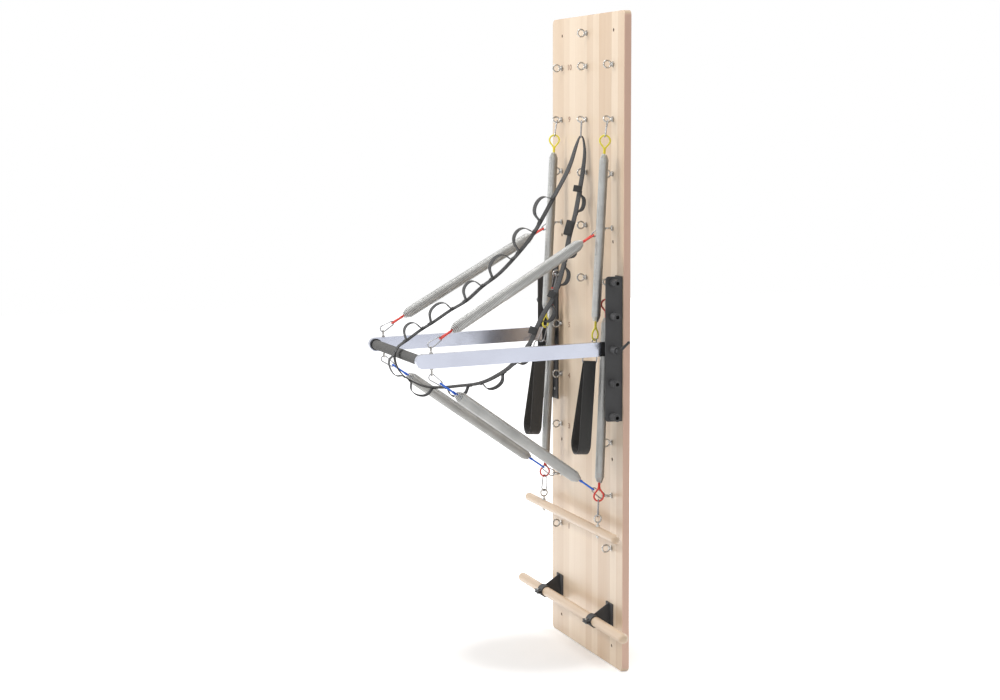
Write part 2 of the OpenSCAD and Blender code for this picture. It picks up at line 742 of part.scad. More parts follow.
// Distance by which two linked rings lap over each other
function lap(wire_a, wire_b) = wire_a + wire_b + clear;

// A hook hangs loosely in its swivel eye, further out along the line and away from the
// arm, because the eye moves about in the hook while the bar swings
swivel_room = 3.4;
swivel_side = 4;

// Push springs: each runs from the ring of a turned eye bolt to a swivel eye on the arm.
// The hooks seat on the middle of those wires, and the cord loops fill what is left.
function push_start(s, row) = place(s * column_x, eye_reach + eye_ring_r, row_z(row));
function arm_seat(s, v) = on_bar(s * arm_mid_x, arm_eye_reach,
    v * (arm_h / 2 + arm_eye_base - 1 + arm_eye_len - arm_eye_wire / 2));
function push_line(s, v) = let (a = push_start(s, v > 0 ? red_row : blue_row),
        b = arm_seat(s, v), away = v * cross(b - a, [1, 0, 0]))
    [towards(a, b, -(eye_wire / 2 + clear + hook_wire)),
     towards(b, a, -(arm_eye_wire / 2 + clear + hook_wire + swivel_room))
     + swivel_side * away / norm(away)];
function push_loop_total(s, v) = let (ab = push_line(s, v), total = norm(ab[1] - ab[0]))
    (total - 2 * push_hook_len - push_spring_len) / 2 + lap(hook_wire, cord_d);
function push_mouth(s, v, end) = let (ab = push_line(s, v))
    towards(ab[end], ab[1 - end], push_hook_len - lap(hook_wire, cord_d) + push_loop_total(s, v));

push_loop_w = 21;
push_neck = 10;

module push_coil(s, v) {
    color("silver") along(push_mouth(s, v, 0), push_mouth(s, v, 1))
        spring(push_spring_d, push_wire, push_spring_len, push_mouth_r);
}
module push_hooks(v, end) {
    color("silver") for (s = [LEFT, RIGHT]) {
        ab = push_line(s, v);
        along(ab[end], ab[1 - end]) snap_hook(end == 0 ? 0 : 180, push_hook_len);
    }
}
module push_loops(v, end, tint) {
    color(tint) for (s = [LEFT, RIGHT])
        along(push_mouth(s, v, end), push_mouth(s, v, 1 - end))
            cord_loop(push_loop_total(s, v) - push_neck, push_loop_w, push_neck,
                      19, push_taper + 9, 90);
}
module red_push_coil_left() { push_coil(LEFT, 1); }
module red_push_coil_right() { push_coil(RIGHT, 1); }
module red_push_hooks_board() { push_hooks(1, 0); }
module red_push_hooks_arm() { push_hooks(1, 1); }
module red_push_loops_board() { push_loops(1, 0, "tomato"); }
module red_push_loops_arm() { push_loops(1, 1, "tomato"); }
module blue_push_coil_left() { push_coil(LEFT, -1); }
module blue_push_coil_right() { push_coil(RIGHT, -1); }
module blue_push_hooks_board() { push_hooks(-1, 0); }
module blue_push_hooks_arm() { push_hooks(-1, 1); }
module blue_push_loops_board() { push_loops(-1, 0, "royalblue"); }
module blue_push_loops_arm() { push_loops(-1, 1, "royalblue"); }

// Hanging springs: a hook leads from the eye to the side of the column, and below it a
// loop, the spring and a second loop hang on one line that clears the eyes of other rows
hung_spin = -75;
slant_room = 0.8;
function hung_start(x, row, side = 1) = place(x + side * eye_ring_r * sin(hung_turn), eye_reach,
    row_z(row) - eye_ring_r * cos(hung_turn) + eye_wire / 2 + hook_wire + clear + slant_room);
ring_loop_len = 45;
ring_loop_w = 40;
ring_loop_spin = 35;
hang_neck = 18;
top_mouth_at = ring_loop_len + hang_neck;
low_mouth_at = top_mouth_at + hang_spring_len;
low_loop_end_at = low_mouth_at + hang_neck + ring_loop_len;

// Lower end of a line of a given length that hangs from a towards a side and a reach
function hung_end(a, x, reach, len) = let (dy = front - reach - a.y)
    [x, front - reach, a.z - sqrt(len * len - pow(x - a.x, 2) - dy * dy)];

// Ends of the upper hook, of the two loops, and of what hangs straight below them
function hung(a, x0, reach0, x1, reach1, below = 0) =
    let (cord = hung_end(a, x0, reach0, hook_len - hook_wire - clear - cord_d / 2),
         foot = hung_end(cord, x1, reach1, low_loop_end_at + below - cord_d / 2),
         top = towards(cord, foot, -cord_d / 2))
    [a, towards(a, cord, hook_len), top, towards(top, foot, low_loop_end_at), foot];

module hung_top_hook(c, spin = hung_spin) {
    color("silver") along(c[0], c[1]) snap_hook(spin);
}
module hung_loop(c, from, to, at, tint, spin = 0) {
    color(tint) along(towards(c[from], c[to], at), c[to])
        cord_loop(ring_loop_len, ring_loop_w, hang_neck, 15, hang_taper + 8, spin);
}
module hung_coil(c) {
    color("silver") along(towards(c[2], c[3], top_mouth_at), c[3])
        spring(hang_spring_d, hang_wire, hang_spring_len, hang_mouth_r);
}

// Handle springs
handle_side_shift = 20;
handle_top_reach = 35;
handle_low_reach = 70;
function handle_line(s) = let (x = s * column_x + handle_side_shift)
    hung(hung_start(s * column_x, handle_row), x, handle_top_reach, x, handle_low_reach);

// Handle: its hook leans forwards from the loop, and carries a D-ring with the webbing
handle_hook_tilt = 19;
handle_hook_spin = -50;
handle_ring_wire = 4;
handle_ring_h = 32;
handle_ring_w = 53;
handle_ring_top_r = 16;
handle_ring_low_r = 4;
handle_foot_shift = -19;
handle_foot_reach = 107;
function handle_hook_line(s) = let (c = handle_line(s), cord = towards(c[3], c[2], cord_d / 2),
        d = [0, -sin(handle_hook_tilt), -cos(handle_hook_tilt)],
        a = cord - d * (cord_d / 2 + clear + hook_wire))
    [a, a + d * hook_len];
// Wire of the D-ring where the hook holds it, and the handle's lower end
function handle_ring_seat(s) = let (ab = handle_hook_line(s))
    towards(ab[1], ab[0], hook_wire + clear + handle_ring_wire / 2);
function handle_foot(s) = hung_end(handle_ring_seat(s), s * column_x + handle_foot_shift,
    handle_foot_reach, handle_ring_h + handle_len - 10);
function handle_ring_top(s) = towards(handle_ring_seat(s), handle_foot(s), -handle_ring_wire / 2);

// D-ring in the local YZ plane, with its straight lower bar at Z = 0
module d_ring(w, h, r_top, r_low, wire) {
    y = (w - wire) / 2;
    low = wire / 2;
    high = h - wire / 2;
    side = high - low - r_top - r_low + 2 * leg_overlap;
    rotate([90, 0, 90]) {
        for (s = [-1, 1]) {
            translate([s * (y - r_top), high - r_top, 0]) rotate([0, 0, s > 0 ? 0 : 90])
                rotate_extrude(angle = 90) translate([r_top, 0]) circle(d = wire, $fn = 24);
            translate([s * (y - r_low), low + r_low, 0]) rotate([0, 0, s > 0 ? -90 : 180])
                rotate_extrude(angle = 90) translate([r_low, 0]) circle(d = wire, $fn = 24);
            translate([s * y, low + r_low - leg_overlap, 0]) rotate([-90, 0, 0])
                straight(wire, 0, side);
        }
        for (bar = [[y - r_top, high], [y - r_low, low]])
            translate([-bar[0] - leg_overlap, bar[1], 0]) rotate([0, 90, 0])
                straight(wire, 0, 2 * bar[0] + 2 * leg_overlap);
    }
}

module handle_coil_left() { hung_coil(handle_line(LEFT)); }
module handle_coil_right() { hung_coil(handle_line(RIGHT)); }
module handle_top_hook_left() { hung_top_hook(handle_line(LEFT)); }
module handle_top_hook_right() { hung_top_hook(handle_line(RIGHT)); }
top_loop_spin = 25;
module handle_top_loop(s) {
    hung_loop(handle_line(s), 2, 3, top_mouth_at, "gold", top_loop_spin);
}
module handle_top_loop_left() { handle_top_loop(LEFT); }
module handle_top_loop_right() { handle_top_loop(RIGHT); }
module handle_low_loop(s) {
    hung_loop(handle_line(s), 3, 2, top_mouth_at, "gold", ring_loop_spin);
}
module handle_low_loop_left() { handle_low_loop(LEFT); }
module handle_low_loop_right() { handle_low_loop(RIGHT); }

module handle_low_hook(s) {
    ab = handle_hook_line(s);
    color("silver") {
        along(ab[1], ab[0]) snap_hook(handle_hook_spin);
        along(handle_ring_top(s), handle_foot(s)) translate([0, 0, handle_ring_h])
            mirror([0, 0, 1]) d_ring(handle_ring_w, handle_ring_h, handle_ring_top_r,
                                     handle_ring_low_r, handle_ring_wire);
    }
}
module handle_low_hook_left() { handle_low_hook(LEFT); }
module handle_low_hook_right() { handle_low_hook(RIGHT); }

strap_seat = handle_ring_h - handle_ring_wire - seam - clear - handle_strap_t;
module handle_strap(s) {
    color([0.13, 0.13, 0.13]) along(handle_ring_top(s), handle_foot(s))
        translate([0, 0, strap_seat + handle_len]) mirror([0, 0, 1]) rotate([0, 0, 90])
            link(handle_len, 2 * handle_bottom_r, 2 * handle_top_r, handle_strap_t,
                 flat = handle_strap_w);
}
module handle_strap_left() { handle_strap(LEFT); }
module handle_strap_right() { handle_strap(RIGHT); }

// Roll-down bar: it hangs on the lower hooks of the two long springs
roll_eye_stem = 14;
roll_side_shift = 20;
roll_top_reach = 28;
below_roll_loop = hook_len - lap(hook_wire, cord_d);
function roll_line(s) = hung(hung_start(s * column_x, roll_row, s),
    s * (column_x + roll_side_shift), roll_top_reach, s * roll_eye_x, roll_bar_reach,
    below_roll_loop);
roll_bar_z = roll_line(RIGHT)[4].z + hook_wire + clear + eye_wire / 2
    - 2 * eye_ring_r - roll_eye_stem - roll_bar_d / 2;

module roll_coil_left() { hung_coil(roll_line(LEFT)); }
module roll_coil_right() { hung_coil(roll_line(RIGHT)); }
module roll_top_hooks() {
    for (s = [LEFT, RIGHT]) hung_top_hook(roll_line(s), s * hung_spin);
}
module roll_top_loops() {
    for (s = [LEFT, RIGHT])
        hung_loop(roll_line(s), 2, 3, top_mouth_at, "tomato", s * top_loop_spin);
}
module roll_low_loops() {
    for (s = [LEFT, RIGHT]) hung_loop(roll_line(s), 3, 2, top_mouth_at, "tomato");
}
low_hook_spin = 60;
module roll_low_hooks() {
    color("silver") for (s = [LEFT, RIGHT]) {
        c = roll_line(s);
        along(c[4], c[3]) snap_hook(s * low_hook_spin);
    }
}

module roll_bar() {
    color("wheat") translate(place(0, roll_bar_reach, roll_bar_z)) difference() {
        round_bar(roll_bar_d, roll_bar_len);
        for (s = [LEFT, RIGHT])
            translate([s * roll_eye_x, 0, 0])
                cylinder(d = eye_shank_d + 2 * fit, h = roll_bar_d + 2, center = true);
    }
}

module roll_bar_eyes() {
    nut_h = 5;
    color("silver") for (s = [LEFT, RIGHT])
        translate(place(s * roll_eye_x, roll_bar_reach, roll_bar_z)) {
            translate([0, 0, -roll_bar_d / 2 - nut_h - 5])
                cylinder(d = eye_shank_d, h = roll_bar_d + nut_h + 5 + roll_eye_stem);
            for (z = [roll_bar_d / 2, -roll_bar_d / 2 - nut_h])
                translate([0, 0, z]) cylinder(d = 13, h = nut_h, $fn = 6);
            translate([0, 0, roll_bar_d / 2 + roll_eye_stem + eye_ring_r]) rotate([0, 90, 0])
                rotate_extrude() translate([eye_ring_r, 0]) circle(d = eye_wire, $fn = 24);
        }
}

// Long strap: a closed run of webbing that hangs from the middle eye of the ninth row,
// passes over the push bar's grip and comes back near the board.
// Points of its route: side, distance in front of the board, height
strap_route = [
    [2, 23.6, 1775], [2, 29, 1767], [4, 42, 1735], [7, 68, 1665], [11, 117, 1580],
    [16, 158, 1512], [22, 197, 1452], [28, 247, 1393], [33, 322, 1320], [39, 387, 1276],
    [44, 445, 1230], [50, 503, 1200], [55, 564, 1163], [61, 609, 1139], [66, 658, 1107],
    [70, 690, 1086], [70, 701, 1058], [70, 694, 1024], [66, 673, 994], [63, 640, 971],
    [60, 596, 952], [56, 538, 945], [53, 477, 947], [49, 399, 953], [46, 335, 977],
    [42, 280, 1012], [39, 218, 1081], [35, 191, 1134], [32, 165, 1180], [28, 128, 1235],
    [24, 101, 1307], [22, 86, 1362], [22, 70, 1438], [22, 50, 1509], [22, 34, 1589],
    [22, 22, 1657], [18, 14, 1720], [5, 14, 1764], [2, 19.4, 1775]];

// Smooth curve through the route's points
function route_point(u) =
    let (last = len(strap_route) - 1, i = min(floor(u), last - 1), t = u - i,
         p1 = strap_route[i], p2 = strap_route[i + 1],
         p0 = strap_route[max(i - 1, 0)], p3 = strap_route[min(i + 2, last)])
    let (q = 0.5 * (2 * p1 + (p2 - p0) * t + (2 * p0 - 5 * p1 + 4 * p2 - p3) * t * t
                    + (3 * p1 - p0 - 3 * p2 + p3) * t * t * t))
    place(q.x, q.y, q.z);
function route_tangent(u) = let (e = 0.05, last = len(strap_route) - 1,
        d = route_point(min(u + e, last)) - route_point(max(u - e, 0)))
    d / norm(d);
// Outward normal of the strap, away from the middle of its loop
function route_normal(u) = let (n = cross(route_tangent(u), [1, 0, 0])) n / norm(n);

// Ring of points across a webbing: local width along X, thickness along the normal
function webbing_ring(c, n, w, t) = let (h = w / 2, q = t / 2, e = t / 4)
    [for (k = [[-h, -e], [-h + e, -q], [h - e, -q], [h, -e], [h, e], [h - e, q],
               [-h + e, q], [-h, e]]) c + [k[0], 0, 0] + n * k[1]];
function flat_ring(c, n, w, t) =
    [for (k = [[-1, -1], [1, -1], [1, 1], [-1, 1]]) c + [k[0] * w / 2, 0, 0] + n * k[1] * t / 2];

// The strap is drawn together where it passes through its hook
strap_rings = 2 * (len(strap_route) - 1);
folded_w = 8;
function strap_width(i) = let (from_end = min(i, strap_rings - i))
    from_end >= 6 ? strap_w : folded_w + (strap_w - folded_w) * max(from_end - 1, 0) / 5;
// Place on the drawn strap between two of its rings
function strap_at(u) = let (k = floor(2 * u) / 2)
    route_point(k) + (route_point(k + 0.5) - route_point(k)) * (u - k) * 2;

// Hand loops: start and end along the route, and height above the strap's outer side
hand_loops = [
    [4.3, 5.3, 45], [6.1, 7, 52], [7.5, 8.3, 48], [9.1, 9.9, 42], [11, 12, 42],
    [13, 13.9, 40], [16.1, 17.9, 26], [19.1, 20.4, 36], [21.5, 22.4, 34],
    [23.2, 24.2, 36], [25.2, 25.8, 32], [27.6, 28.5, 36], [29.6, 30.4, 30],
    [31.1, 31.6, 34], [33.2, 33.8, 24]];

function bezier(a, b, c, d, t) =
    a * pow(1 - t, 3) + 3 * b * t * pow(1 - t, 2) + 3 * c * t * t * (1 - t) + d * pow(t, 3);

loop_steps = 10;
module hand_loop(from, to, height) {
    seat = strap_t / 2 + clear;
    n1 = route_normal(from);
    n2 = route_normal(to);
    a = strap_at(from) + n1 * seat;
    d = strap_at(to) + n2 * seat;
    up = (n1 + n2) / norm(n1 + n2);
    spread = (a - d) / 4;
    b = a + up * height * 4 / 3 + spread;
    c = d + up * height * 4 / 3 - spread;
    centres = [for (i = [0 : loop_steps]) bezier(a, b, c, d, i / loop_steps)];
    tube_from([for (i = [0 : loop_steps])
        let (e = centres[min(i + 1, loop_steps)] - centres[max(i - 1, 0)],
             n = i == 0 ? -route_tangent(from) : i == loop_steps ? route_tangent(to)
                 : cross(e / norm(e), [1, 0, 0]))
        flat_ring(centres[i], n / norm(n), strap_w - 2, strap_t)]);
}

module loop_strap() {
    color([0.25, 0.25, 0.25]) {
        tube_from([for (i = [0 : strap_rings])
            webbing_ring(route_point(i / 2), route_normal(i / 2), strap_width(i), strap_t)]);
        for (h = hand_loops) hand_loop(h[0], h[1], h[2]);
    }
}

module strap_hook() {
    a = hung_start(0, strap_row);
    color("silver") along(a, place(a.x - 5, 22, a.z - hook_len)) snap_hook(hung_spin);
}

board();
eye_bolts_left();
eye_bolts_centre();
eye_bolts_right();
tee_nuts();
arm_bracket_left();
arm_bracket_right();
pivot_bosses_left();
pivot_bosses_right();
bracket_screws();
pivot_pins();
foot_bar();
foot_clamp_left();
foot_clamp_right();
foot_clamp_screws();
foot_clamp_bolts();
push_arm_left();
push_arm_right();
arm_block_left();
arm_block_right();
cross_tube();
foam_grip();
grip_collars();
arm_eyes();
clamp_lever_left();
clamp_lever_right();
red_push_coil_left();
red_push_coil_right();
red_push_hooks_board();
red_push_loops_board();
red_push_hooks_arm();
red_push_loops_arm();
blue_push_coil_left();
blue_push_coil_right();
blue_push_hooks_board();
blue_push_loops_board();
blue_push_hooks_arm();
blue_push_loops_arm();
handle_coil_left();
handle_coil_right();
handle_top_hook_left();
handle_top_hook_right();
handle_top_loop_left();
handle_top_loop_right();
handle_low_loop_left();
handle_low_loop_right();
handle_low_hook_left();
handle_low_hook_right();
handle_strap_left();
handle_strap_right();
roll_coil_left();
roll_coil_right();
roll_top_hooks();
roll_top_loops();
roll_low_loops();
roll_low_hooks();
roll_bar();
roll_bar_eyes();
loop_strap();
strap_hook();
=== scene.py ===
# %% [markdown]
# # A Pilates wall unit, dressed for its picture
# A tall wooden board for a wall carries springs on eye bolts, a bar that swings on two
# brackets, a hanging bar and a long strap with hand loops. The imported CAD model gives
# every rigid piece its exact shape and place. This lesson adds what CAD leaves out: wound
# springs, braided cord, sewn webbing, foam, and the finish of each surface.
# Everything is in metres, with the board's wall face at Y = 0 and its foot at Z = 0.

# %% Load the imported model
import json
import math
from functools import partial
import bpy
from mathutils import Matrix, Vector
from mathutils.geometry import interpolate_bezier


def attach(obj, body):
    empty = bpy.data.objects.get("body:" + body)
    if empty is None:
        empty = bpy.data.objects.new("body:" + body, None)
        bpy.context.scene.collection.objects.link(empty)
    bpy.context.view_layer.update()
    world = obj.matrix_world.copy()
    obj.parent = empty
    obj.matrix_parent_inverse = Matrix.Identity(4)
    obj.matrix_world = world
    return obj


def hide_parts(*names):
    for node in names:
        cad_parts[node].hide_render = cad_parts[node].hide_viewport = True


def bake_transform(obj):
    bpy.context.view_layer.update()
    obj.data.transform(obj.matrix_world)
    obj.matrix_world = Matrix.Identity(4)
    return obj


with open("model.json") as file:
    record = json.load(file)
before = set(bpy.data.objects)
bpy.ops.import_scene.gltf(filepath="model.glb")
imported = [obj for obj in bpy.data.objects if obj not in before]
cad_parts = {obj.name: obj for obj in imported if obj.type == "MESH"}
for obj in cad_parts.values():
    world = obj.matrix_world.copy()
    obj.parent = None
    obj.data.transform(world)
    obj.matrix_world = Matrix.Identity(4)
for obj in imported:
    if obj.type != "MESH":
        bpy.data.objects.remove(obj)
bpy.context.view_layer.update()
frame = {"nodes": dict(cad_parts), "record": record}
scene = bpy.context.scene
scene.view_settings.view_transform = "Standard"

# %% [markdown]
# ## The camera
# It stands far to the right of the board with a long lens, a little above the push bar.
# The board is thus seen at a grazing angle while its bar reaches out to the left, and the
# uprights stay almost parallel. The numbers come from matching the board's corners and
# the grid of eye bolts.

# %% Place the camera
CAMERA_PLACE, LENS = (6.6492, -2.5563, 1.7996), 75.08
TURN, TIP, ROLL = (math.radians(angle) for angle in (71.533, 6.0525, -0.137))
camera_data = bpy.data.cameras.new("photo_camera")
camera_data.sensor_width = 36
camera_data.lens = LENS
camera_data.clip_end = 60
camera = bpy.data.objects.new("photo_camera", camera_data)
scene.collection.objects.link(camera)
scene.camera = camera
camera.matrix_world = (
    Matrix.Translation(CAMERA_PLACE) @ Matrix.Rotation(TURN, 4, "Z")
    @ Matrix.Rotation(math.pi / 2 - TIP, 4, "X") @ Matrix.Rotation(ROLL, 4, "Z"))
print("camera at", tuple(camera.location), "with a", camera_data.lens, "mm lens")

# %% [markdown]
# ## Places on the unit
# Every soft piece lies where its CAD solid lies, so the few sizes that place them are
# repeated here from the part's source. A place is written as its side, its distance in
# front of the board and its height, as a fitter would measure it on the wall.

# %% Places and the swinging bar's own directions
BOARD_FRONT, COLUMN_X, FIRST_ROW_Z, ROW_PITCH = -0.024, 0.242, 0.402, 0.1786
LEFT, RIGHT = -1, 1
PIVOT_REACH, PIVOT_Z, BAR_DROOP = 0.0345, 1.080, math.radians(1.8)
ARM_REACH = 0.635
ACROSS, UPRIGHT = Vector((1, 0, 0)), Vector((0, 1, 0))


def row_z(row):
    """Height of a row of eye bolts, counted from the floor."""
    return FIRST_ROW_Z + (row - 1) * ROW_PITCH


def place(side, reach, height):
    """A point from its side, its distance in front of the board and its height."""
    return Vector((side, BOARD_FRONT - reach, height))


def on_bar(side, reach, rise):
    """A point on the push bar, measured from its pivot along the arm and across it."""
    return place(side, PIVOT_REACH + reach * math.cos(BAR_DROOP) + rise * math.sin(BAR_DROOP),
                 PIVOT_Z - reach * math.sin(BAR_DROOP) + rise * math.cos(BAR_DROOP))


def towards(start, end, distance):
    """The point at a distance from start on the line to end."""
    return start + (end - start).normalized() * distance


def along(start, end):
    """The matrix that lays local Z on the line from start to end, with X kept near X."""
    line = end - start
    return (Matrix.Translation(start) @ Matrix.Rotation(math.atan2(-line.y, line.z), 4, "X")
            @ Matrix.Rotation(math.asin(line.x / line.length), 4, "Y"))


print("rows from", row_z(1), "to", row_z(10), "m; grip at", tuple(on_bar(0, ARM_REACH, 0)))

# %% [markdown]
# ## Tubes and bands from rings of points
# Cord and webbing are both a section carried along a path. One helper joins rings of
# points into a closed tube, and also writes a UV map in metres: across the section and
# along the path. A weave drawn on that map follows every bend of the cloth.

# %% Join rings of points into a tube
def tube(name, rings, section, closed=False):
    """A mesh from equal rings of points; section gives each ring point's way round."""
    count, sides = len(rings), len(rings[0])
    middles = [sum(ring, Vector()) / sides for ring in rings]
    run, faces, corners = [0.0], [], []
    for i in range(count if closed else count - 1):
        after = (i + 1) % count
        run.append(run[-1] + (middles[after] - middles[i]).length)
        for j in range(sides):
            k = (j + 1) % sides
            faces.append((i * sides + j, i * sides + k, after * sides + k, after * sides + j))
            corners += [(section[j], run[i]), (section[j + 1], run[i]),
                        (section[j + 1], run[i + 1]), (section[j], run[i + 1])]
    if not closed:
        for order, first in ((range(sides)[::-1], 0), (range(sides), count - 1)):
            faces.append(tuple(first * sides + j for j in order))
            corners += [(section[j], run[first]) for j in order]
    mesh = bpy.data.meshes.new(name)
    mesh.from_pydata([tuple(point) for ring in rings for point in ring], [], faces)
    layer = mesh.uv_layers.new(name="pattern")
    for item, corner in zip(layer.data, corners):
        item.uv = corner
    mesh.shade_smooth()
    return mesh


def way_round(outline):
    """Distances along a closed outline of 2D points, from 0 to its whole length."""
    run = [0.0]
    for point, after in zip(outline, outline[1:] + outline[:1]):
        run.append(run[-1] + (Vector(after) - Vector(point)).length)
    return run


def circle(sides):
    """The angles of equal steps once round."""
    return [2 * math.pi * j / sides for j in range(sides)]


def arc(radius, height, start, sweep, steps):
    """An arc in the XZ plane about a point on the Z axis."""
    return [Vector((radius * math.cos(a), 0, height + radius * math.sin(a)))
            for a in (start + sweep * i / steps for i in range(steps + 1))]


def girth(radius, sides):
    """Distances round a circle at its points, from 0 to its whole length."""
    return [2 * math.pi * radius * j / sides for j in range(sides + 1)]


def ways_along(path, closed=False):
    """The direction of a path at each of its points."""
    before, after = path[-1:] + path[:-1], path[1:] + path[:1]
    if not closed:
        before[0], after[-1] = path[0], path[-1]
    return [(b - a).normalized() for a, b in zip(before, after)]


def add_object(name, mesh):
    """Links a mesh to the scene as an object at the origin."""
    piece = bpy.data.objects.new(name, mesh)
    scene.collection.objects.link(piece)
    return piece


def joined(name, meshes):
    """One object from several meshes, with their UV maps and materials."""
    parts = [add_object(f"{name}_{i}", mesh) for i, mesh in enumerate(meshes)]
    with bpy.context.temp_override(active_object=parts[0], selected_editable_objects=parts):
        bpy.ops.object.join()
    parts[0].name = parts[0].data.name = name
    return parts[0]


print("tube helpers are ready")

# %% [markdown]
# ## The long strap, first of all
# The strap hangs from a snap hook on the ninth row, passes over the foam grip and comes
# back in front of the board. It is a free piece of a fixed length, so its route comes
# before anything else: a smooth curve through measured points. The band leans a little to
# either side on its way, as hanging webbing does, and its hook draws it together.

# %% Route of the strap
STRAP_WIDTH, STRAP_THICK, FOLDED_WIDTH = 0.025, 0.003, 0.008
strap_points = [place(side / 1000, reach / 1000, height / 1000) for side, reach, height in (
    (2, 23.6, 1775), (2, 29, 1767), (4, 42, 1735), (7, 68, 1665), (11, 117, 1580),
    (16, 158, 1512), (22, 197, 1452), (28, 247, 1393), (33, 322, 1320), (39, 387, 1276),
    (44, 445, 1230), (50, 503, 1200), (55, 564, 1163), (61, 609, 1139), (66, 658, 1107),
    (70, 690, 1086), (70, 701, 1058), (70, 694, 1024), (66, 673, 994), (63, 640, 971),
    (60, 596, 952), (56, 538, 945), (53, 477, 947), (49, 399, 953), (46, 335, 977),
    (42, 280, 1012), (39, 218, 1081), (35, 191, 1134), (32, 165, 1180), (28, 128, 1235),
    (24, 101, 1307), (22, 86, 1362), (22, 70, 1438), (22, 50, 1509), (22, 34, 1589),
    (22, 22, 1657), (18, 14, 1720), (5, 14, 1764), (2, 19.4, 1775))]
ROUTE_END = len(strap_points) - 1
STRAP_LEAN = ((0, 0), (2, -13), (5, -10), (9, -7), (13, -5), (16, 0), (19, 8), (24, 12),
              (28, 15), (31, 15), (35, 12), (ROUTE_END, 0))
TANGENT_STEP, DRAWN_IN, FULL_AGAIN = 0.05, 0.5, 3.0


def route_point(u):
    """Point of the smooth curve through the route; u counts the measured points."""
    i = min(int(u), ROUTE_END - 1)
    t = u - i
    before, here = strap_points[max(i - 1, 0)], strap_points[i]
    after, last = strap_points[i + 1], strap_points[min(i + 2, ROUTE_END)]
    return 0.5 * (2 * here + (after - before) * t
                  + (2 * before - 5 * here + 4 * after - last) * t * t
                  + (3 * here - before - 3 * after + last) * t ** 3)


def route_tangent(u):
    return (route_point(min(u + TANGENT_STEP, ROUTE_END))
            - route_point(max(u - TANGENT_STEP, 0))).normalized()


def strap_side(u):
    """Direction across the strap, with its lean to one side in degrees."""
    for (first, a), (last, b) in zip(STRAP_LEAN, STRAP_LEAN[1:]):
        if u <= last:
            lean = math.radians(a + (b - a) * (u - first) / (last - first))
            break
    level_normal = route_tangent(u).cross(ACROSS).normalized()
    return ACROSS * math.cos(lean) + level_normal * math.sin(lean)


def route_normal(u):
    """Outward side of the strap, away from the middle of its loop."""
    return route_tangent(u).cross(strap_side(u)).normalized()


def strap_width(u):
    """The strap's full width, drawn together near its two ends."""
    share = (min(u, ROUTE_END - u) - DRAWN_IN) / (FULL_AGAIN - DRAWN_IN)
    return FOLDED_WIDTH + (STRAP_WIDTH - FOLDED_WIDTH) * min(max(share, 0), 1)


STRAP_STEPS = 4
strap_us = [i / STRAP_STEPS for i in range(ROUTE_END * STRAP_STEPS + 1)]
strap_path = [route_point(u) for u in strap_us]
strap_length = sum((b - a).length for a, b in zip(strap_path, strap_path[1:]))
print(f"strap: {strap_length:.3f} m round, {len(strap_path)} rings")

# %% [markdown]
# A band of webbing is not a sharp strip: its two edges are round. Twelve points make that
# section, flat in the middle and rounded at both edges.

# %% Section of a band and the strap's mesh
EDGE_DEPTH, NOSE, SHOULDER = 0.45, 0.35, 0.85


def band_outline(width, thick):
    """Twelve points round a flat section with rounded edges."""
    half, deep, edge = width / 2, thick / 2, thick * EDGE_DEPTH
    corner = [(-half, -deep * NOSE), (-half + edge * NOSE, -deep * SHOULDER),
              (-half + edge, -deep)]
    front = corner + [(-x, y) for x, y in reversed(corner)]
    return front + [(x, -y) for x, y in reversed(front)]


def band_ring(centre, across, normal, width, thick):
    return [centre + across * x + normal * y for x, y in band_outline(width, thick)]


def band_rings(path, across, width, thick, closed=False):
    """Rings of a band of webbing along a path, with one direction across it."""
    return [band_ring(point, across, way.cross(across).normalized(), width, thick)
            for point, way in zip(path, ways_along(path, closed))]


def band_along(name, path, across, width, thick, closed=False):
    return tube(name, band_rings(path, across, width, thick, closed),
                way_round(band_outline(width, thick)), closed)


strap_rings = [band_ring(route_point(u), strap_side(u), route_normal(u), strap_width(u),
                         STRAP_THICK) for u in strap_us]
loop_strap = add_object("strap_webbing", tube(
    "strap_webbing", strap_rings, way_round(band_outline(STRAP_WIDTH, STRAP_THICK))))
print("strap mesh:", len(loop_strap.data.polygons), "faces")

# %% [markdown]
# ## Shader node groups for effects that come back
# Each effect is built once as a node group with named inputs, and every material sets its
# own values. A group only puts out colours, values and heights. The Principled shader
# stays in the material, where the export can read it.

# %% Helpers for node trees
def tone(red, green, blue):
    """A colour judged as 0 to 255, turned into the linear values of Blender."""
    return tuple(((v / 255 + 0.055) / 1.055) ** 2.4 if v > 10 else v / 255 / 12.92
                 for v in (red, green, blue)) + (1.0,)


class Flow:
    """A node's output. Each sum or product of it adds a Math node to the same tree."""

    def __init__(self, socket):
        self.socket, self.tree = socket, socket.id_data

    def __getitem__(self, label):
        """Another output of the same node."""
        return Flow(self.socket.node.outputs[label])

    def math(self, operation, *others):
        return add_node(self.tree, "ShaderNodeMath", {"operation": operation}, self, *others)

    def vector(self, operation, *others):
        return add_node(self.tree, "ShaderNodeVectorMath", {"operation": operation}, self, *others)

    def __add__(self, other):
        return self.math("ADD", other)

    def __sub__(self, other):
        return self.math("SUBTRACT", other)

    def __mul__(self, other):
        return self.math("MULTIPLY", other)

    def __truediv__(self, other):
        return self.math("DIVIDE", other)

    def __lt__(self, other):
        return self.math("LESS_THAN", other)

    def __gt__(self, other):
        return self.math("GREATER_THAN", other)

    def __abs__(self):
        return self.math("ABSOLUTE")


def feed(socket, value):
    """Links another node's output to a socket, or sets the socket to a plain value."""
    if isinstance(value, Flow):
        value.tree.links.new(value.socket, socket)
    else:
        socket.default_value = value


def feed_all(sockets, values):
    for label, value in values.items():
        feed(sockets[label.replace("_", " ")], value)


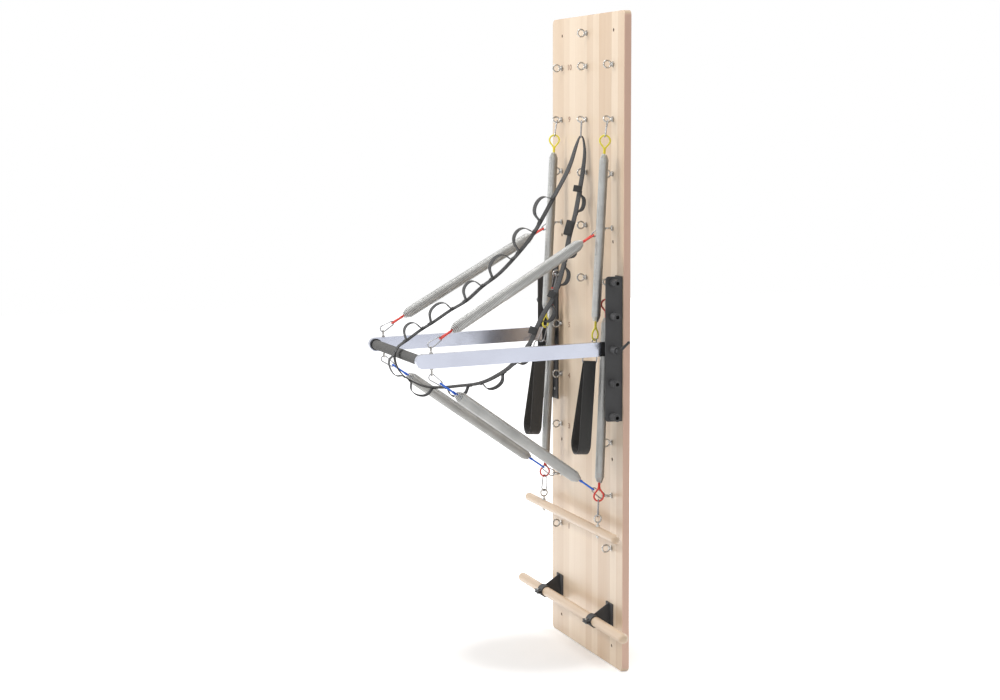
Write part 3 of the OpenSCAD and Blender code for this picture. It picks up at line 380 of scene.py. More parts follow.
def add_node(tree, kind, settings=(), *values, **named):
    """A new node's first output. Its settings come first, then its sockets are fed."""
    node = tree.nodes.new(kind)
    for label, value in dict(settings).items():
        setattr(node, label, value)
    for socket, value in zip(node.inputs, values):
        feed(socket, value)
    feed_all(node.inputs, named)
    return Flow(node.outputs[0])


def noise(vector, scale, detail, rough):
    return add_node(vector.tree, "ShaderNodeTexNoise", Vector=vector, Scale=scale,
                    Detail=detail, Roughness=rough)["Fac"]


def blend_colours(share, first, second):
    """Goes from the first colour to the second as the share goes from 0 to 1."""
    node = share.tree.nodes.new("ShaderNodeMix")
    node.data_type = "RGBA"
    sockets = {socket.identifier: socket for socket in (*node.inputs, *node.outputs)}
    for label, value in (("Factor_Float", share), ("A_Color", first), ("B_Color", second)):
        feed(sockets[label], value)
    return Flow(sockets["Result_Color"])


def split(vector):
    parts = add_node(vector.tree, "ShaderNodeSeparateXYZ", (), vector)
    return parts["X"], parts["Y"], parts["Z"]


def map_range(value, **ends):
    return add_node(value.tree, "ShaderNodeMapRange", Value=value, **ends)["Result"]


FLOAT, COLOUR, VECTOR, INTEGER, GEOMETRY, MATERIAL = ("NodeSocket" + kind for kind in (
    "Float", "Color", "Vector", "Int", "Geometry", "Material"))


def socket_type(value):
    """The type of a socket, named outright or told by its default value."""
    if isinstance(value, (str, int)):
        return value if isinstance(value, str) else INTEGER
    if isinstance(value, float):
        return FLOAT
    return COLOUR if len(value) == 4 else VECTOR


def new_group(name, kind, inputs, outputs):
    """An empty node group, the Flows of its inputs, and the sockets of its outputs."""
    tree = bpy.data.node_groups.new(name, kind)
    for way, sockets in (("INPUT", inputs), ("OUTPUT", outputs)):
        for label, value in sockets.items():
            socket = tree.interface.new_socket(label, in_out=way, socket_type=socket_type(value))
            if not isinstance(value, str):
                socket.default_value = value
    into = Flow(tree.nodes.new("NodeGroupInput").outputs[0])
    return tree, into, tree.nodes.new("NodeGroupOutput").inputs


def put_out(out, *values):
    for socket, value in zip(out, values):
        feed(socket, value)


SURFACE = {"Color": COLOUR, "Roughness": FLOAT, "Height": FLOAT}
print("node helpers are ready; a mid grey is", round(tone(128, 128, 128)[0], 3))

# %% [markdown]
# ### Wood
# The board is glued from narrow upright strips, each cut from another place of the tree.
# A random number for each strip shifts its grain and its tone. Noise that is stretched
# along the grain gives the figure and the fibres, and a thin dark line marks each joint.
# The board's two long edges show side grain in another tone, made darker in part as painted
# shade, and the insides of its bores are painted dark as shade.

# %% Node group: glued wood
GRAIN_SHIFT_Y, GRAIN_SHIFT_Z = 3.0, 9.0
FIGURE_STRETCH, FIBRE_STRETCH = (16.0, 16.0, 0.9), (260.0, 260.0, 7.0)
WOOD_ROUGH, WOOD_ROUGH_SPREAD, JOINT_DEPTH = 0.30, 0.16, 2.0
JOINT_LINE, EDGE_SKIN, BORE_MARGIN, FRONT_SKIN, BACK_SKIN = 0.0007, 0.0012, 0.012, -0.0228, -0.0006
wood_group, into, out = new_group("glued_wood", "ShaderNodeTree", {
    "Vector": VECTOR, "Strip Width": 0.0567, "Pale": tone(240, 222, 198),
    "Deep": tone(200, 168, 134), "Strip Share": 0.55, "Figure Share": 0.4, "Fibre Share": 0.15,
    "Joint Share": 0.5, "Half Width": 0.34, "Height": 2.18, "Edge Grain And Shade": tone(228, 188, 168),
    "Edge Share": 0.85, "Bore": tone(74, 54, 42), "Bore Share": 0.9}, SURFACE)
side_way, depth_way, up_way = split(into["Vector"])
strip_at = side_way / into["Strip Width"]
strip = strip_at.math("FLOOR")
lot = add_node(wood_group, "ShaderNodeTexWhiteNoise", {"noise_dimensions": "1D"}, W=strip)["Value"]
shift = add_node(wood_group, "ShaderNodeCombineXYZ", Y=lot * GRAIN_SHIFT_Y, Z=lot * GRAIN_SHIFT_Z)
moved = into["Vector"].vector("ADD", shift)
figure = noise(moved.vector("MULTIPLY", FIGURE_STRETCH), 1.0, 3.0, 0.55)
fibre = noise(moved.vector("MULTIPLY", FIBRE_STRETCH), 1.0, 2.0, 0.6)
near_joint = (strip_at - strip) * into["Strip Width"] < JOINT_LINE
deepness = (lot * into["Strip Share"] + figure * into["Figure Share"]
            + fibre * into["Fibre Share"] + near_joint * into["Joint Share"])
bare = blend_colours(deepness, into["Pale"], into["Deep"])
off_middle = abs(side_way)
on_edge = off_middle > into["Half Width"] - EDGE_SKIN
half_height = into["Height"] * 0.5
# Inside the bores the wood is painted dark: painted shade in the holes.
bore_shade_mask = ((off_middle < into["Half Width"] - BORE_MARGIN)
           * (abs(up_way - half_height) < half_height - BORE_MARGIN)
           * (depth_way < BACK_SKIN) * (depth_way > FRONT_SKIN))
# The long edges take a darker, pinker tone: partly side grain, partly painted shade.
edged = blend_colours(on_edge * into["Edge Share"], bare, into["Edge Grain And Shade"])
put_out(out, blend_colours(bore_shade_mask * into["Bore Share"], edged, into["Bore"]),
        figure * WOOD_ROUGH_SPREAD + WOOD_ROUGH, fibre - near_joint * JOINT_DEPTH)
print("glued wood:", len(wood_group.nodes), "nodes")

# %% [markdown]
# ### Handled surfaces
# Steel, aluminium and plastic all carry fine scratches, smudges and slightly dull patches.
# One group mixes a broad noise for smudges with a stretched one for scratches.

# %% Node group: handled surface
SMUDGE_PART, SCRATCH_PART = 0.65, 0.35
handled_group, into, out = new_group("handled_surface", "ShaderNodeTree", {
    "Vector": VECTOR, "Scale": 40.0, "Stretch": (1.0, 1.0, 1.0), "Fresh": tone(190, 190, 192),
    "Worn": tone(150, 150, 152), "Roughness": 0.3, "Roughness Spread": 0.2,
    "Fine Scale": 900.0}, SURFACE)
smudge = noise(into["Vector"], into["Scale"], 3.0, 0.6)
scratch = noise(into["Vector"].vector("MULTIPLY", into["Stretch"]), into["Fine Scale"], 2.0, 0.6)
worn = map_range(scratch * SCRATCH_PART + smudge * SMUDGE_PART, From_Min=0.32, From_Max=0.68)
put_out(out, blend_colours(worn, into["Fresh"], into["Worn"]),
        worn * into["Roughness Spread"] + into["Roughness"], scratch)
print("handled surface:", len(handled_group.nodes), "nodes")

# %% [markdown]
# ### Woven and braided threads
# Webbing and cord are read on the UV map that their meshes carry, in metres. In webbing,
# ribs run along the band and each thread dips under the next, so the height is a product
# of two waves shifted from rib to rib. In a braid the strands cross at a slant.

# %% Node group: woven threads
FUZZ_SCALE, FUZZ_PART, PICK_PART, CLOTH_ROUGH, CLOTH_ROUGH_SPREAD = 60.0, 0.35, 0.6, 0.62, 0.2
weave_group, into, out = new_group("woven_threads", "ShaderNodeTree", {
    "Pattern": VECTOR, "Rib": 0.0016, "Pick": 0.0012, "Slant": 0.0, "Thread": tone(60, 60, 60),
    "Gap": tone(20, 20, 20), "Fuzz": tone(90, 90, 90)}, SURFACE)
across_way, along_way, _ = split(into["Pattern"])
rib_at = (along_way * into["Slant"] + across_way) / into["Rib"]
pick_at = (along_way - across_way * into["Slant"]) / into["Pick"]
over_rib = abs((rib_at * math.pi).math("SINE"))
over_pick = abs(((pick_at + rib_at.math("FLOOR") * 0.5) * math.pi).math("SINE"))
thread = over_rib * (over_pick * PICK_PART + (1 - PICK_PART))
fuzz = noise(into["Pattern"], FUZZ_SCALE, 4.0, 0.7)
# Where threads dip and part, the colour goes to the darker gap tone: painted shade in the weave's
# hollows.
cloth = blend_colours(thread, into["Gap"], into["Thread"])
put_out(out, blend_colours(fuzz * FUZZ_PART, cloth, into["Fuzz"]),
        fuzz * CLOTH_ROUGH_SPREAD + CLOTH_ROUGH, thread)
print("woven threads:", len(weave_group.nodes), "nodes")

# %% [markdown]
# ## The finishes
# Each material places one of the groups, hands it its own colours and scales, and feeds a
# Bump node with the group's height. Numbers that are the same all over a surface, such as
# sheen or coat, are set on the Principled shader itself.

# %% One way to make a finish
materials = {}


def finish_of(name, group, values, bump, plain=(), pattern=False, turned=None):
    """A material from one group. bump is the strength and the depth in metres."""
    material = materials[name] = bpy.data.materials.new(name)
    material.use_nodes = True
    tree = material.node_tree
    if pattern:
        where = add_node(tree, "ShaderNodeUVMap", {"uv_map": "pattern"})
    else:
        where = add_node(tree, "ShaderNodeTexCoord")["Object"]
    if turned:
        where = add_node(tree, "ShaderNodeMapping", Vector=where, Rotation=turned)
    node = add_node(tree, "ShaderNodeGroup", {"node_tree": group}, where, **values)
    relief = add_node(tree, "ShaderNodeBump", Strength=bump[0], Distance=bump[1],
                      Height=node["Height"])
    feed_all(tree.nodes["Principled BSDF"].inputs, {
        **dict(plain), "Base Color": node["Color"], "Roughness": node["Roughness"],
        "Normal": relief})


def dressed(mesh, name):
    mesh.materials.append(materials[name])
    return mesh


print("finishes are made by one function")

# %% [markdown]
# The wood is pale and slightly pink, under a satin lacquer. The two round bars are turned
# from one piece each, so their strip is wider than they are, and a Mapping node lays their
# grain along X.

# %% Wood finishes
lacquer = {"Coat Weight": 0.25, "Coat Roughness": 0.25}
wood_bump = (0.25, 0.0004)
finish_of("board_wood", wood_group, {}, wood_bump, lacquer)
finish_of("bar_wood", wood_group, {
    "Strip Width": 5.0, "Pale": tone(234, 212, 186), "Deep": tone(198, 168, 136),
    "Strip Share": 0.0, "Figure Share": 0.7, "Fibre Share": 0.3, "Joint Share": 0.0,
    "Edge Share": 0.0, "Bore Share": 0.0}, wood_bump, lacquer, turned=(0, math.radians(90), 0))
print("wood:", list(materials))

# %% [markdown]
# The metals differ in tone and gloss: bright eyes and hooks, satin springs, soft anodised
# arms, and a black powder coat that is not metallic at its surface at all. Fabrics scatter
# light from their loose fibres, which the sheen of the shader imitates. Sewing thread and
# the numbers' ink are small enough for the plain handled surface.

# %% Metal, plastic, foam, thread and ink
metal = {"Metallic": 1.0}
cloth_sheen = {"Sheen Weight": 0.25, "Sheen Roughness": 0.5}
for name, fresh, worn, roughness, plain, bump, others in (
        ("eye_steel", (190, 188, 184), (146, 144, 140), 0.16, metal, (0.05, 0.0002), {}),
        ("hook_steel", (168, 168, 170), (126, 126, 128), 0.2, metal, (0.05, 0.0002), {}),
        ("zinc_steel", (182, 182, 180), (150, 150, 146), 0.3, metal, (0.1, 0.0002), {}),
        ("spring_steel", (190, 190, 188), (168, 168, 166), 0.44, metal, (0.02, 0.0001),
         {"Scale": 14.0, "Roughness Spread": 0.06}),
        ("arm_aluminium", (200, 204, 217), (182, 185, 198), 0.17, metal, (0.03, 0.0001),
         {"Scale": 4.0, "Stretch": (1.0, 0.04, 1.0), "Roughness Spread": 0.06}),
        ("black_steel", (56, 56, 57), (70, 70, 71), 0.5, (), (0.35, 0.0004),
         {"Scale": 14.0, "Roughness Spread": 0.18, "Fine Scale": 700.0}),
        ("black_plastic", (26, 26, 27), (40, 40, 42), 0.42, (), (0.2, 0.0003),
         {"Scale": 30.0, "Fine Scale": 1200.0}),
        ("foam", (78, 77, 76), (100, 99, 97), 0.82, (), (0.6, 0.0006),
         {"Scale": 25.0, "Roughness Spread": 0.1, "Fine Scale": 500.0}),
        ("sewing_thread", (120, 120, 120), (96, 96, 96), 0.7, cloth_sheen, (0.2, 0.0002), {}),
        ("number_ink", (150, 118, 98), (172, 140, 116), 0.5, (), (0.1, 0.0001), {})):
    finish_of(name, handled_group, {"Fresh": tone(*fresh), "Worn": tone(*worn),
                                    "Roughness": roughness, **others}, bump, plain)
print("so far:", len(materials), "finishes")

# %% [markdown]
# A braid is the same weave turned to a slant, drawn round the cord.

# %% Webbing and cord
braid = {"Slant": 0.8, "Rib": 0.0019, "Pick": 0.0019}
# The gap tone of each cloth is painted shade between its threads.
for name, strand, gap_shade, fluff, others in (
        ("grey_webbing", (52, 52, 53), (26, 26, 26), (62, 62, 63), {}),
        ("black_webbing", (54, 53, 51), (24, 24, 24), (68, 67, 65), {}),
        ("red_cord", (252, 96, 82), (232, 62, 54), (252, 96, 82), braid),
        ("blue_cord", (66, 136, 250), (36, 98, 226), (66, 136, 250), braid),
        ("yellow_cord", (255, 246, 96), (246, 228, 66), (255, 246, 96), braid)):
    finish_of(name, weave_group, {"Thread": tone(*strand), "Gap": tone(*gap_shade),
                                  "Fuzz": tone(*fluff), **others},
              (0.8, 0.0005), cloth_sheen, pattern=True)
print("all finishes:", sorted(materials))

# %% [markdown]
# ## The strap gets its finish and its hand loops
# The strap hangs from the board at one end and lies over the push bar at the other, so it
# bends between the two. Its hand loops are separate pieces sewn onto it, and four loose
# folds stand off its rear run.

# %% One hand loop of webbing
hand_loops = [(4.3, 5.3, 45), (6.1, 7, 52), (7.5, 8.3, 48), (9.1, 9.9, 42), (11, 12, 42),
              (13, 13.9, 40), (16.1, 17.9, 26), (19.1, 20.4, 36), (21.5, 22.4, 34),
              (23.2, 24.2, 36), (25.2, 25.8, 32), (27.6, 28.5, 36), (29.6, 30.4, 30),
              (31.1, 31.6, 34), (33.2, 33.8, 24)]
LOOP_WIDTH, LOOP_THICK, LOOP_FOOT = 0.023, 0.0022, 0.016
ROUTE_STEP, SEWN_GAP, CUBIC_TOP = 0.02, 0.0002, 0.75
FOOT_SHARES, ARCH_POINTS, ARCH_KEPT = (0.3, 0.6, 1), 13, slice(2, 11)


def along_route(u, distance):
    """The route's number at a distance along the strap from u."""
    step = math.copysign(ROUTE_STEP, distance)
    gone = 0.0
    while gone < abs(distance) and 0 < u + step < ROUTE_END:
        gone += (route_point(u + step) - route_point(u)).length
        u += step
    return u


def rounded(points, times=2):
    """Corner cutting: every pass replaces a corner by two points beside it."""
    for _ in range(times):
        cut = [points[0]]
        for a, b in zip(points, points[1:]):
            cut += [a * 0.75 + b * 0.25, a * 0.25 + b * 0.75]
        points = cut + [points[-1]]
    return points


def seat_of(u):
    """A point on the strap's outer side, at half the thickness of what is sewn there."""
    return route_point(u) + route_normal(u) * (STRAP_THICK + LOOP_THICK + SEWN_GAP) / 2


def hand_loop_path(first, last, height):
    """A loop's middle line: one sewn foot, the arch and the other foot."""
    start, end = seat_of(first), seat_of(last)
    rise = (route_normal(first) + route_normal(last)).normalized() * height / 1000 / CUBIC_TOP
    spread = (start - end) / 4
    arch = interpolate_bezier(start, start + rise + spread, end + rise - spread, end,
                              ARCH_POINTS)[ARCH_KEPT]
    feet = [[seat_of(along_route(u, LOOP_FOOT * share * way)) for share in FOOT_SHARES]
            for u, way in ((first, -1), (last, 1))]
    return rounded(feet[0][::-1] + arch + feet[1], 3)


loop_paths = [hand_loop_path(*loop) for loop in hand_loops]
print("hand loops:", len(loop_paths), "with", len(loop_paths[0]), "points each")

# %% [markdown]
# ### Stitches by Geometry Nodes
# A sewn seam is one short stitch repeated along a line. The tree takes any line of edges,
# places points at the pitch of the seam, and sets a small capsule on each, turned along
# the line. Realize Instances makes them real mesh before the material is set.

# %% Geometry Nodes: a row of stitches
stitch_tree, into, out = new_group("stitch_row", "GeometryNodeTree", {
    "Line": GEOMETRY, "Pitch": 0.0036, "Stitch Length": 0.0026, "Thread": 0.0007,
    "Thread Finish": MATERIAL}, {"Stitches": GEOMETRY})


def close_tree(out, geometry, finish):
    """The last nodes of a tree: real mesh, smooth shading and the material."""
    for kind, values in (("GeometryNodeRealizeInstances", {}), ("GeometryNodeSetShadeSmooth", {}),
                         ("GeometryNodeSetMaterial", {"Material": finish})):
        geometry = add_node(geometry.tree, kind, Geometry=geometry, **values)
    put_out(out, geometry)


sew = partial(add_node, stitch_tree)
seam = sew("GeometryNodeMeshToCurve", Mesh=into["Line"])
seam_points = sew("GeometryNodeCurveToPoints", {"mode": "LENGTH"}, Curve=seam,
                  Length=into["Pitch"])
capsule = sew("GeometryNodeMeshIcoSphere", Radius=0.5)
capsule_size = sew("ShaderNodeCombineXYZ", X=into["Stitch Length"], Y=into["Thread"],
                   Z=into["Thread"])
turned = sew("FunctionNodeAlignRotationToVector", {"axis": "X"}, Vector=seam_points["Tangent"])
sewn = sew("GeometryNodeInstanceOnPoints", Points=seam_points["Points"], Instance=capsule,
           Rotation=turned, Scale=capsule_size)
close_tree(out, sewn, into["Thread Finish"])
print("stitch tree:", len(stitch_tree.nodes), "nodes")


# %% Run a tree and keep its result as a plain mesh
def baked(holder):
    """The plain mesh of an object with its tree run; the object goes away."""
    mesh = bpy.data.meshes.new_from_object(
        holder.evaluated_get(bpy.context.evaluated_depsgraph_get()))
    bpy.data.objects.remove(holder)
    return mesh


def grown(name, tree, sizes, start_mesh=None):
    """The plain mesh that a Geometry Nodes tree makes from its named sizes."""
    holder = add_object(name, start_mesh or bpy.data.meshes.new(name + "_start"))
    modifier = holder.modifiers.new("tree", "NODES")
    modifier.node_group = tree
    keys = {item.name: item.identifier for item in tree.interface.items_tree
            if item.in_out == "INPUT"}
    for label, value in sizes.items():
        modifier[keys[label]] = value
    result = baked(holder)
    result.name = name
    return result


def seam_mesh(name, lines):
    """Edges along several lines of points, for the stitch tree."""
    points, edges = [], []
    for line in lines:
        edges += [(len(points) + i, len(points) + i + 1) for i in range(len(line) - 1)]
        points += [tuple(point) for point in line]
    mesh = bpy.data.meshes.new(name)
    mesh.from_pydata(points, edges, [])
    return mesh


BOX_HALF, BOX_FROM, BOX_TO = 0.0085, 0.2, 0.9
BOX_LIFT = STRAP_THICK / 2 + LOOP_THICK + 0.0003


def box_of_stitches(u, shares):
    """A sewn box on the strap, between two shares of a loop's foot from a place u."""
    first, last = (along_route(u, LOOP_FOOT * share) for share in shares)
    us = [first + (last - first) * i / 4 for i in range(5)]
    edge = [(route_point(u) + route_normal(u) * BOX_LIFT, strap_side(u) * BOX_HALF) for u in us]
    left = [point - aside for point, aside in edge]
    return left + [point + aside for point, aside in reversed(edge)] + left[:1]


# %% Sew the hand loops and the folds on
STITCH_SIZES = {"Thread Finish": materials["sewing_thread"]}
loose_folds = [(26.45, 26.9), (28.85, 29.2), (32.0, 32.7), (33.95, 34.25)]
FOLD_WIDTH, FOLD_THICK, FOLD_LEAN, FOLD_GAP = 0.028, 0.0024, math.radians(35), 0.0006
strap_pieces = []
for number, (loop, path) in enumerate(zip(hand_loops, loop_paths), 1):
    name = f"hand_loop_{number}"
    band = band_along(name, path, strap_side(sum(loop[:2]) / 2), LOOP_WIDTH, LOOP_THICK)
    boxes = [box_of_stitches(loop[0], (-BOX_TO, -BOX_FROM)),
             box_of_stitches(loop[1], (BOX_FROM, BOX_TO))]
    stitches = grown(name + "_stitches", stitch_tree, STITCH_SIZES,
                     seam_mesh(name + "_seam", boxes))
    strap_pieces.append(joined(name, [dressed(band, "grey_webbing"), stitches]))
for number, (first, last) in enumerate(loose_folds, 1):
    u = (first + last) / 2
    across = strap_side(u) * math.cos(FOLD_LEAN) + route_normal(u) * math.sin(FOLD_LEAN)
    off = (STRAP_THICK + FOLD_THICK) / 2 + FOLD_GAP + FOLD_WIDTH / 2 * math.sin(FOLD_LEAN)
    path = [route_point(at) - route_normal(at) * off
            for at in (first + (last - first) * i / 6 for i in range(7))]
    name = f"webbing_fold_{number}"
    fold = band_along(name, path, across, FOLD_WIDTH, FOLD_THICK)
    strap_pieces.append(add_object(name, dressed(fold, "grey_webbing")))
for piece in strap_pieces:
    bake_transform(piece)
dressed(loop_strap.data, "grey_webbing")
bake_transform(loop_strap)
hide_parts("loop_strap")
print("sewn on:", len(hand_loops), "hand loops and", len(loose_folds), "folds, with",
      sum(len(piece.data.polygons) for piece in strap_pieces), "faces")

# %% [markdown]
# ## Springs wound by rule
# A close-wound spring is one wire that climbs by its own thickness at each turn. At both
# ends the turns narrow to a mouth that holds the safety cord's knot. The tree sets every
# point of a line from its own number: its angle from the turns so far, its radius from how
# near it is to an end, and its height from the pitch. Fed with thread sizes, the same tree
# winds the bindings round the cords' necks.

# %% Geometry Nodes: a wound wire
winding_tree, into, out = new_group("wound_wire", "GeometryNodeTree", {
    "Start": GEOMETRY, "Length": 0.5, "Body Radius": 0.017, "Mouth Radius": 0.007,
    "Wire": 0.0045, "End Turns": 4.0, "End Pitch": 0.0052, "Body Turns": 100.0, "Steps": 30,
    "Sides": 6, "Wire Finish": MATERIAL}, {"Wound": GEOMETRY})
all_turns = into["End Turns"] * 2.0 + into["Body Turns"]
wind = partial(add_node, winding_tree)
fine_line = wind("GeometryNodeResampleCurve", Curve=wind("GeometryNodeCurvePrimitiveLine"),
                 Count=all_turns * into["Steps"] + 1.0)
turn_now = wind("GeometryNodeInputIndex") / into["Steps"]
from_end = turn_now.math("MINIMUM", all_turns - turn_now)
open_share = (from_end / into["End Turns"]).math("MINIMUM", 1.0)
radius = (into["Body Radius"] - into["Mouth Radius"]) * open_share + into["Mouth Radius"]
end_height = into["End Turns"] * into["End Pitch"]
body_pitch = (into["Length"] - into["Wire"] - end_height * 2.0) / into["Body Turns"]
low_turns = turn_now.math("MINIMUM", into["End Turns"])
mid_turns = (turn_now - into["End Turns"]).math("MAXIMUM", 0.0).math("MINIMUM", into["Body Turns"])
high_turns = turn_now - low_turns - mid_turns
height = ((low_turns + high_turns) * into["End Pitch"]
          + (mid_turns * body_pitch + into["Wire"] * 0.5))
angle = turn_now * (2 * math.pi)
spot = wind("ShaderNodeCombineXYZ", X=radius * angle.math("COSINE"),
            Y=radius * angle.math("SINE"), Z=height)
wound = wind("GeometryNodeSetPosition", Geometry=fine_line, Position=spot)
wire_section = wind("GeometryNodeCurvePrimitiveCircle", Resolution=into["Sides"],
                    Radius=into["Wire"] * 0.5)
wire_mesh = wind("GeometryNodeCurveToMesh", Curve=wound, Profile_Curve=wire_section,
                 Fill_Caps=True)
close_tree(out, wire_mesh, into["Wire Finish"])
print("winding tree:", len(winding_tree.nodes), "nodes")

# %% [markdown]
# ### Where each spring lies
# A push spring runs from an eye bolt to a swivel eye on the arm. A hanging spring runs
# down from its upper hook's cord loop. Both lines are worked out from their two seats, in
# the same way as in the part's source, so the wound springs fall exactly on the solids.

# %% Lines of the push springs
EYE_WIRE, HOOK_WIRE, SWIVEL_WIRE, CORD, CLEAR = 0.0055, 0.004, 0.0035, 0.006, 0.0003
EYE_REACH, EYE_RING = 0.021, 0.012
PUSH_SPRING, PUSH_WIRE, PUSH_LENGTH, PUSH_HOOK, PUSH_NECK = 0.038, 0.0045, 0.540, 0.056, 0.010
HANG_SPRING, HANG_WIRE, HANG_LENGTH, HANG_HOOK, HANG_NECK = 0.031, 0.0036, 0.552, 0.062, 0.018
SWIVEL_ROOM, SWIVEL_SIDE, SLANT_ROOM = 0.0034, 0.004, 0.0008
RING_LOOP, HOOK_LEAN = 0.045, math.radians(35)
SWIVEL_X, SWIVEL_REACH, SWIVEL_RISE = 0.289, 0.606, 0.04775
HANDLE_ASIDE, HANDLE_TOP, HANDLE_LOW = 0.020, 0.035, 0.070
ROLL_TOP_X, ROLL_TOP, ROLL_LOW_X, ROLL_LOW = 0.262, 0.028, 0.266, 0.059
LAP = HOOK_WIRE + CORD + CLEAR


def push_mouths(side, level, row):
    """Both mouths of a push spring, and the length of the cord outside each."""
    eye = place(side * COLUMN_X, EYE_REACH + EYE_RING, row_z(row))
    swivel = on_bar(side * SWIVEL_X, SWIVEL_REACH, level * SWIVEL_RISE)
    away = (swivel - eye).cross(ACROSS).normalized() * level
    first = towards(eye, swivel, -(EYE_WIRE / 2 + CLEAR + HOOK_WIRE))
    last = towards(swivel, eye, -(SWIVEL_WIRE / 2 + CLEAR + HOOK_WIRE + SWIVEL_ROOM))
    last += away * SWIVEL_SIDE
    cord_out = ((last - first).length - 2 * PUSH_HOOK - PUSH_LENGTH) / 2 + LAP
    return (towards(first, last, PUSH_HOOK - LAP + cord_out),
            towards(last, first, PUSH_HOOK - LAP + cord_out), cord_out)


# %% Lines of the hanging springs
def hung_end(start, side, reach, length):
    """Lower end of a line of a given length that hangs towards a side and a reach."""
    deep = BOARD_FRONT - reach - start.y
    return Vector((side, BOARD_FRONT - reach,
                   start.z - math.sqrt(length ** 2 - (side - start.x) ** 2 - deep ** 2)))


def hung_mouths(eye_side, row, way, top_side, top_reach, low_side, low_reach, below):
    """Top of the upper loop, both mouths of the spring and the end of the lower loop."""
    start = place(eye_side + way * EYE_RING * math.sin(HOOK_LEAN), EYE_REACH,
                  row_z(row) - EYE_RING * math.cos(HOOK_LEAN) + EYE_WIRE / 2 + HOOK_WIRE
                  + CLEAR + SLANT_ROOM)
    cord = hung_end(start, top_side, top_reach, HANG_HOOK - HOOK_WIRE - CLEAR - CORD / 2)
    whole = 2 * (RING_LOOP + HANG_NECK) + HANG_LENGTH
    foot = hung_end(cord, low_side, low_reach, whole + below - CORD / 2)
    top = towards(cord, foot, -CORD / 2)
    return (towards(top, foot, RING_LOOP + HANG_NECK),
            towards(top, foot, RING_LOOP + HANG_NECK + HANG_LENGTH), towards(top, foot, whole))


def handle_mouths(side):
    x = side * COLUMN_X + HANDLE_ASIDE
    return hung_mouths(side * COLUMN_X, 9, 1, x, HANDLE_TOP, x, HANDLE_LOW, 0)


def roll_mouths(side):
    return hung_mouths(side * COLUMN_X, 6, side, side * ROLL_TOP_X, ROLL_TOP,
                       side * ROLL_LOW_X, ROLL_LOW, HANG_HOOK - LAP)


print("cord outside the red and blue mouths:", round(push_mouths(RIGHT, 1, 7)[2], 4),
      round(push_mouths(RIGHT, -1, 2)[2], 4), "m")

# %% Wind the eight springs
SPRING_NECK, MOUTH_GAP, END_TURNS, END_GAP, BODY_GAP = 0.009, 0.0006, 4, 0.0007, 1.015


def wind_spring(name, mouths, outer, wire, length, bodies):
    """One whole spring between its mouths. The bodies of its two ends, in bodies, are not used."""
    end_pitch = wire + END_GAP
    mesh = grown(name, winding_tree, {
        "Length": length, "Body Radius": (outer - wire) / 2,
        "Mouth Radius": SPRING_NECK / 2 + wire / 2 + MOUTH_GAP, "Wire": wire,
        "End Pitch": end_pitch, "Body Turns": float(int(
            (length - wire - 2 * END_TURNS * end_pitch) / (wire * BODY_GAP))),
        "Wire Finish": materials["spring_steel"]})
    mesh.transform(along(mouths[0], mouths[1]))
    piece = add_object(name, mesh)
    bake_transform(piece)
    return piece


spring_faces = 0
PUSH, HANG = (PUSH_SPRING, PUSH_WIRE, PUSH_LENGTH), (HANG_SPRING, HANG_WIRE, HANG_LENGTH)
for side, word in ((LEFT, "left"), (RIGHT, "right")):
    for name, mouths, sizes, bodies in (
            ("red_push", push_mouths(side, 1, 7), PUSH, ("red_push_upper", "red_push_lower")),
            ("blue_push", push_mouths(side, -1, 2), PUSH, ("blue_push_upper", "blue_push_lower")),
            ("handle", handle_mouths(side), HANG, (f"handle_spring_{word}", f"handle_{word}")),
            ("roll", roll_mouths(side), HANG, ("roll_springs", "roll_down_bar"))):
        piece = wind_spring(f"{name}_spring_{word}", mouths[:2], *sizes, bodies)
        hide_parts(f"{name}_coil_{word}")
        spring_faces += len(piece.data.polygons)
print("eight springs:", spring_faces, "faces")

# %% [markdown]
# ## Safety cords and their bindings
# A braided cord runs through each spring and ends in a loop at both mouths, so that a
# broken spring can't fly off. The loop is a drop shape: two strands leave the bound neck,
# spread, and meet round a hook. A wound thread binds the neck, made with the spring's own
# tree, and a knot holds the cord behind the mouth.

# %% Carry a round section along a path
def cord_along(name, path, radius, sides=12, closed=False):
    """A round cord along a path, with a section that turns as little as it can."""
    rings, side_way = [], None
    for point, way in zip(path, ways_along(path, closed)):
        if side_way is None:
            side_way = way.orthogonal().normalized()
        side_way = (side_way - way * side_way.dot(way)).normalized()
        other_way = way.cross(side_way)
        rings.append([point + (side_way * math.cos(t) + other_way * math.sin(t)) * radius
                      for t in circle(sides)])
    return tube(name, rings, girth(radius, sides), closed)


NECK_STRANDS = ((0.0021, 0.004), (0.0026, -0.002))
KNOT_REACH, KNOT_DEPTH, KNOT_CORD = 1.5, 0.7, 0.8


def drop_path(loop_length, loop_width, neck, spin):
    """Middle line of a cord loop below its mouth: out of the neck, round and back."""
    r = (loop_width - CORD) / 2
    low = -neck - loop_length + r + CORD / 2
    lean = math.asin(r / (loop_length - r - CORD / 2))
    strands = ([Vector((-x, 0, z - neck)) for x, z in NECK_STRANDS]
               + arc(r, low, math.pi - lean, math.pi + 2 * lean, 20)
               + [Vector((x, 0, z - neck)) for x, z in reversed(NECK_STRANDS)])
    turned = Matrix.Rotation(math.radians(spin + 90), 3, "Z")
    return rounded([turned @ point for point in strands])


def knot_path(size, centre):
    """A trefoil, the plain overhand knot pulled into a ball."""
    arm = (size - CORD) / 2 / KNOT_REACH
    return [Vector((arm * (math.sin(t) + 2 * math.sin(2 * t)) / 2,
                    arm * (math.cos(t) - 2 * math.cos(2 * t)) / 2,
                    centre + arm * math.sin(3 * t) * KNOT_DEPTH)) for t in circle(48)]


THREAD, BINDING_OVER, BINDING_LOW, BINDING_WAIST = 0.0011, 0.003, 0.002, 0.0003


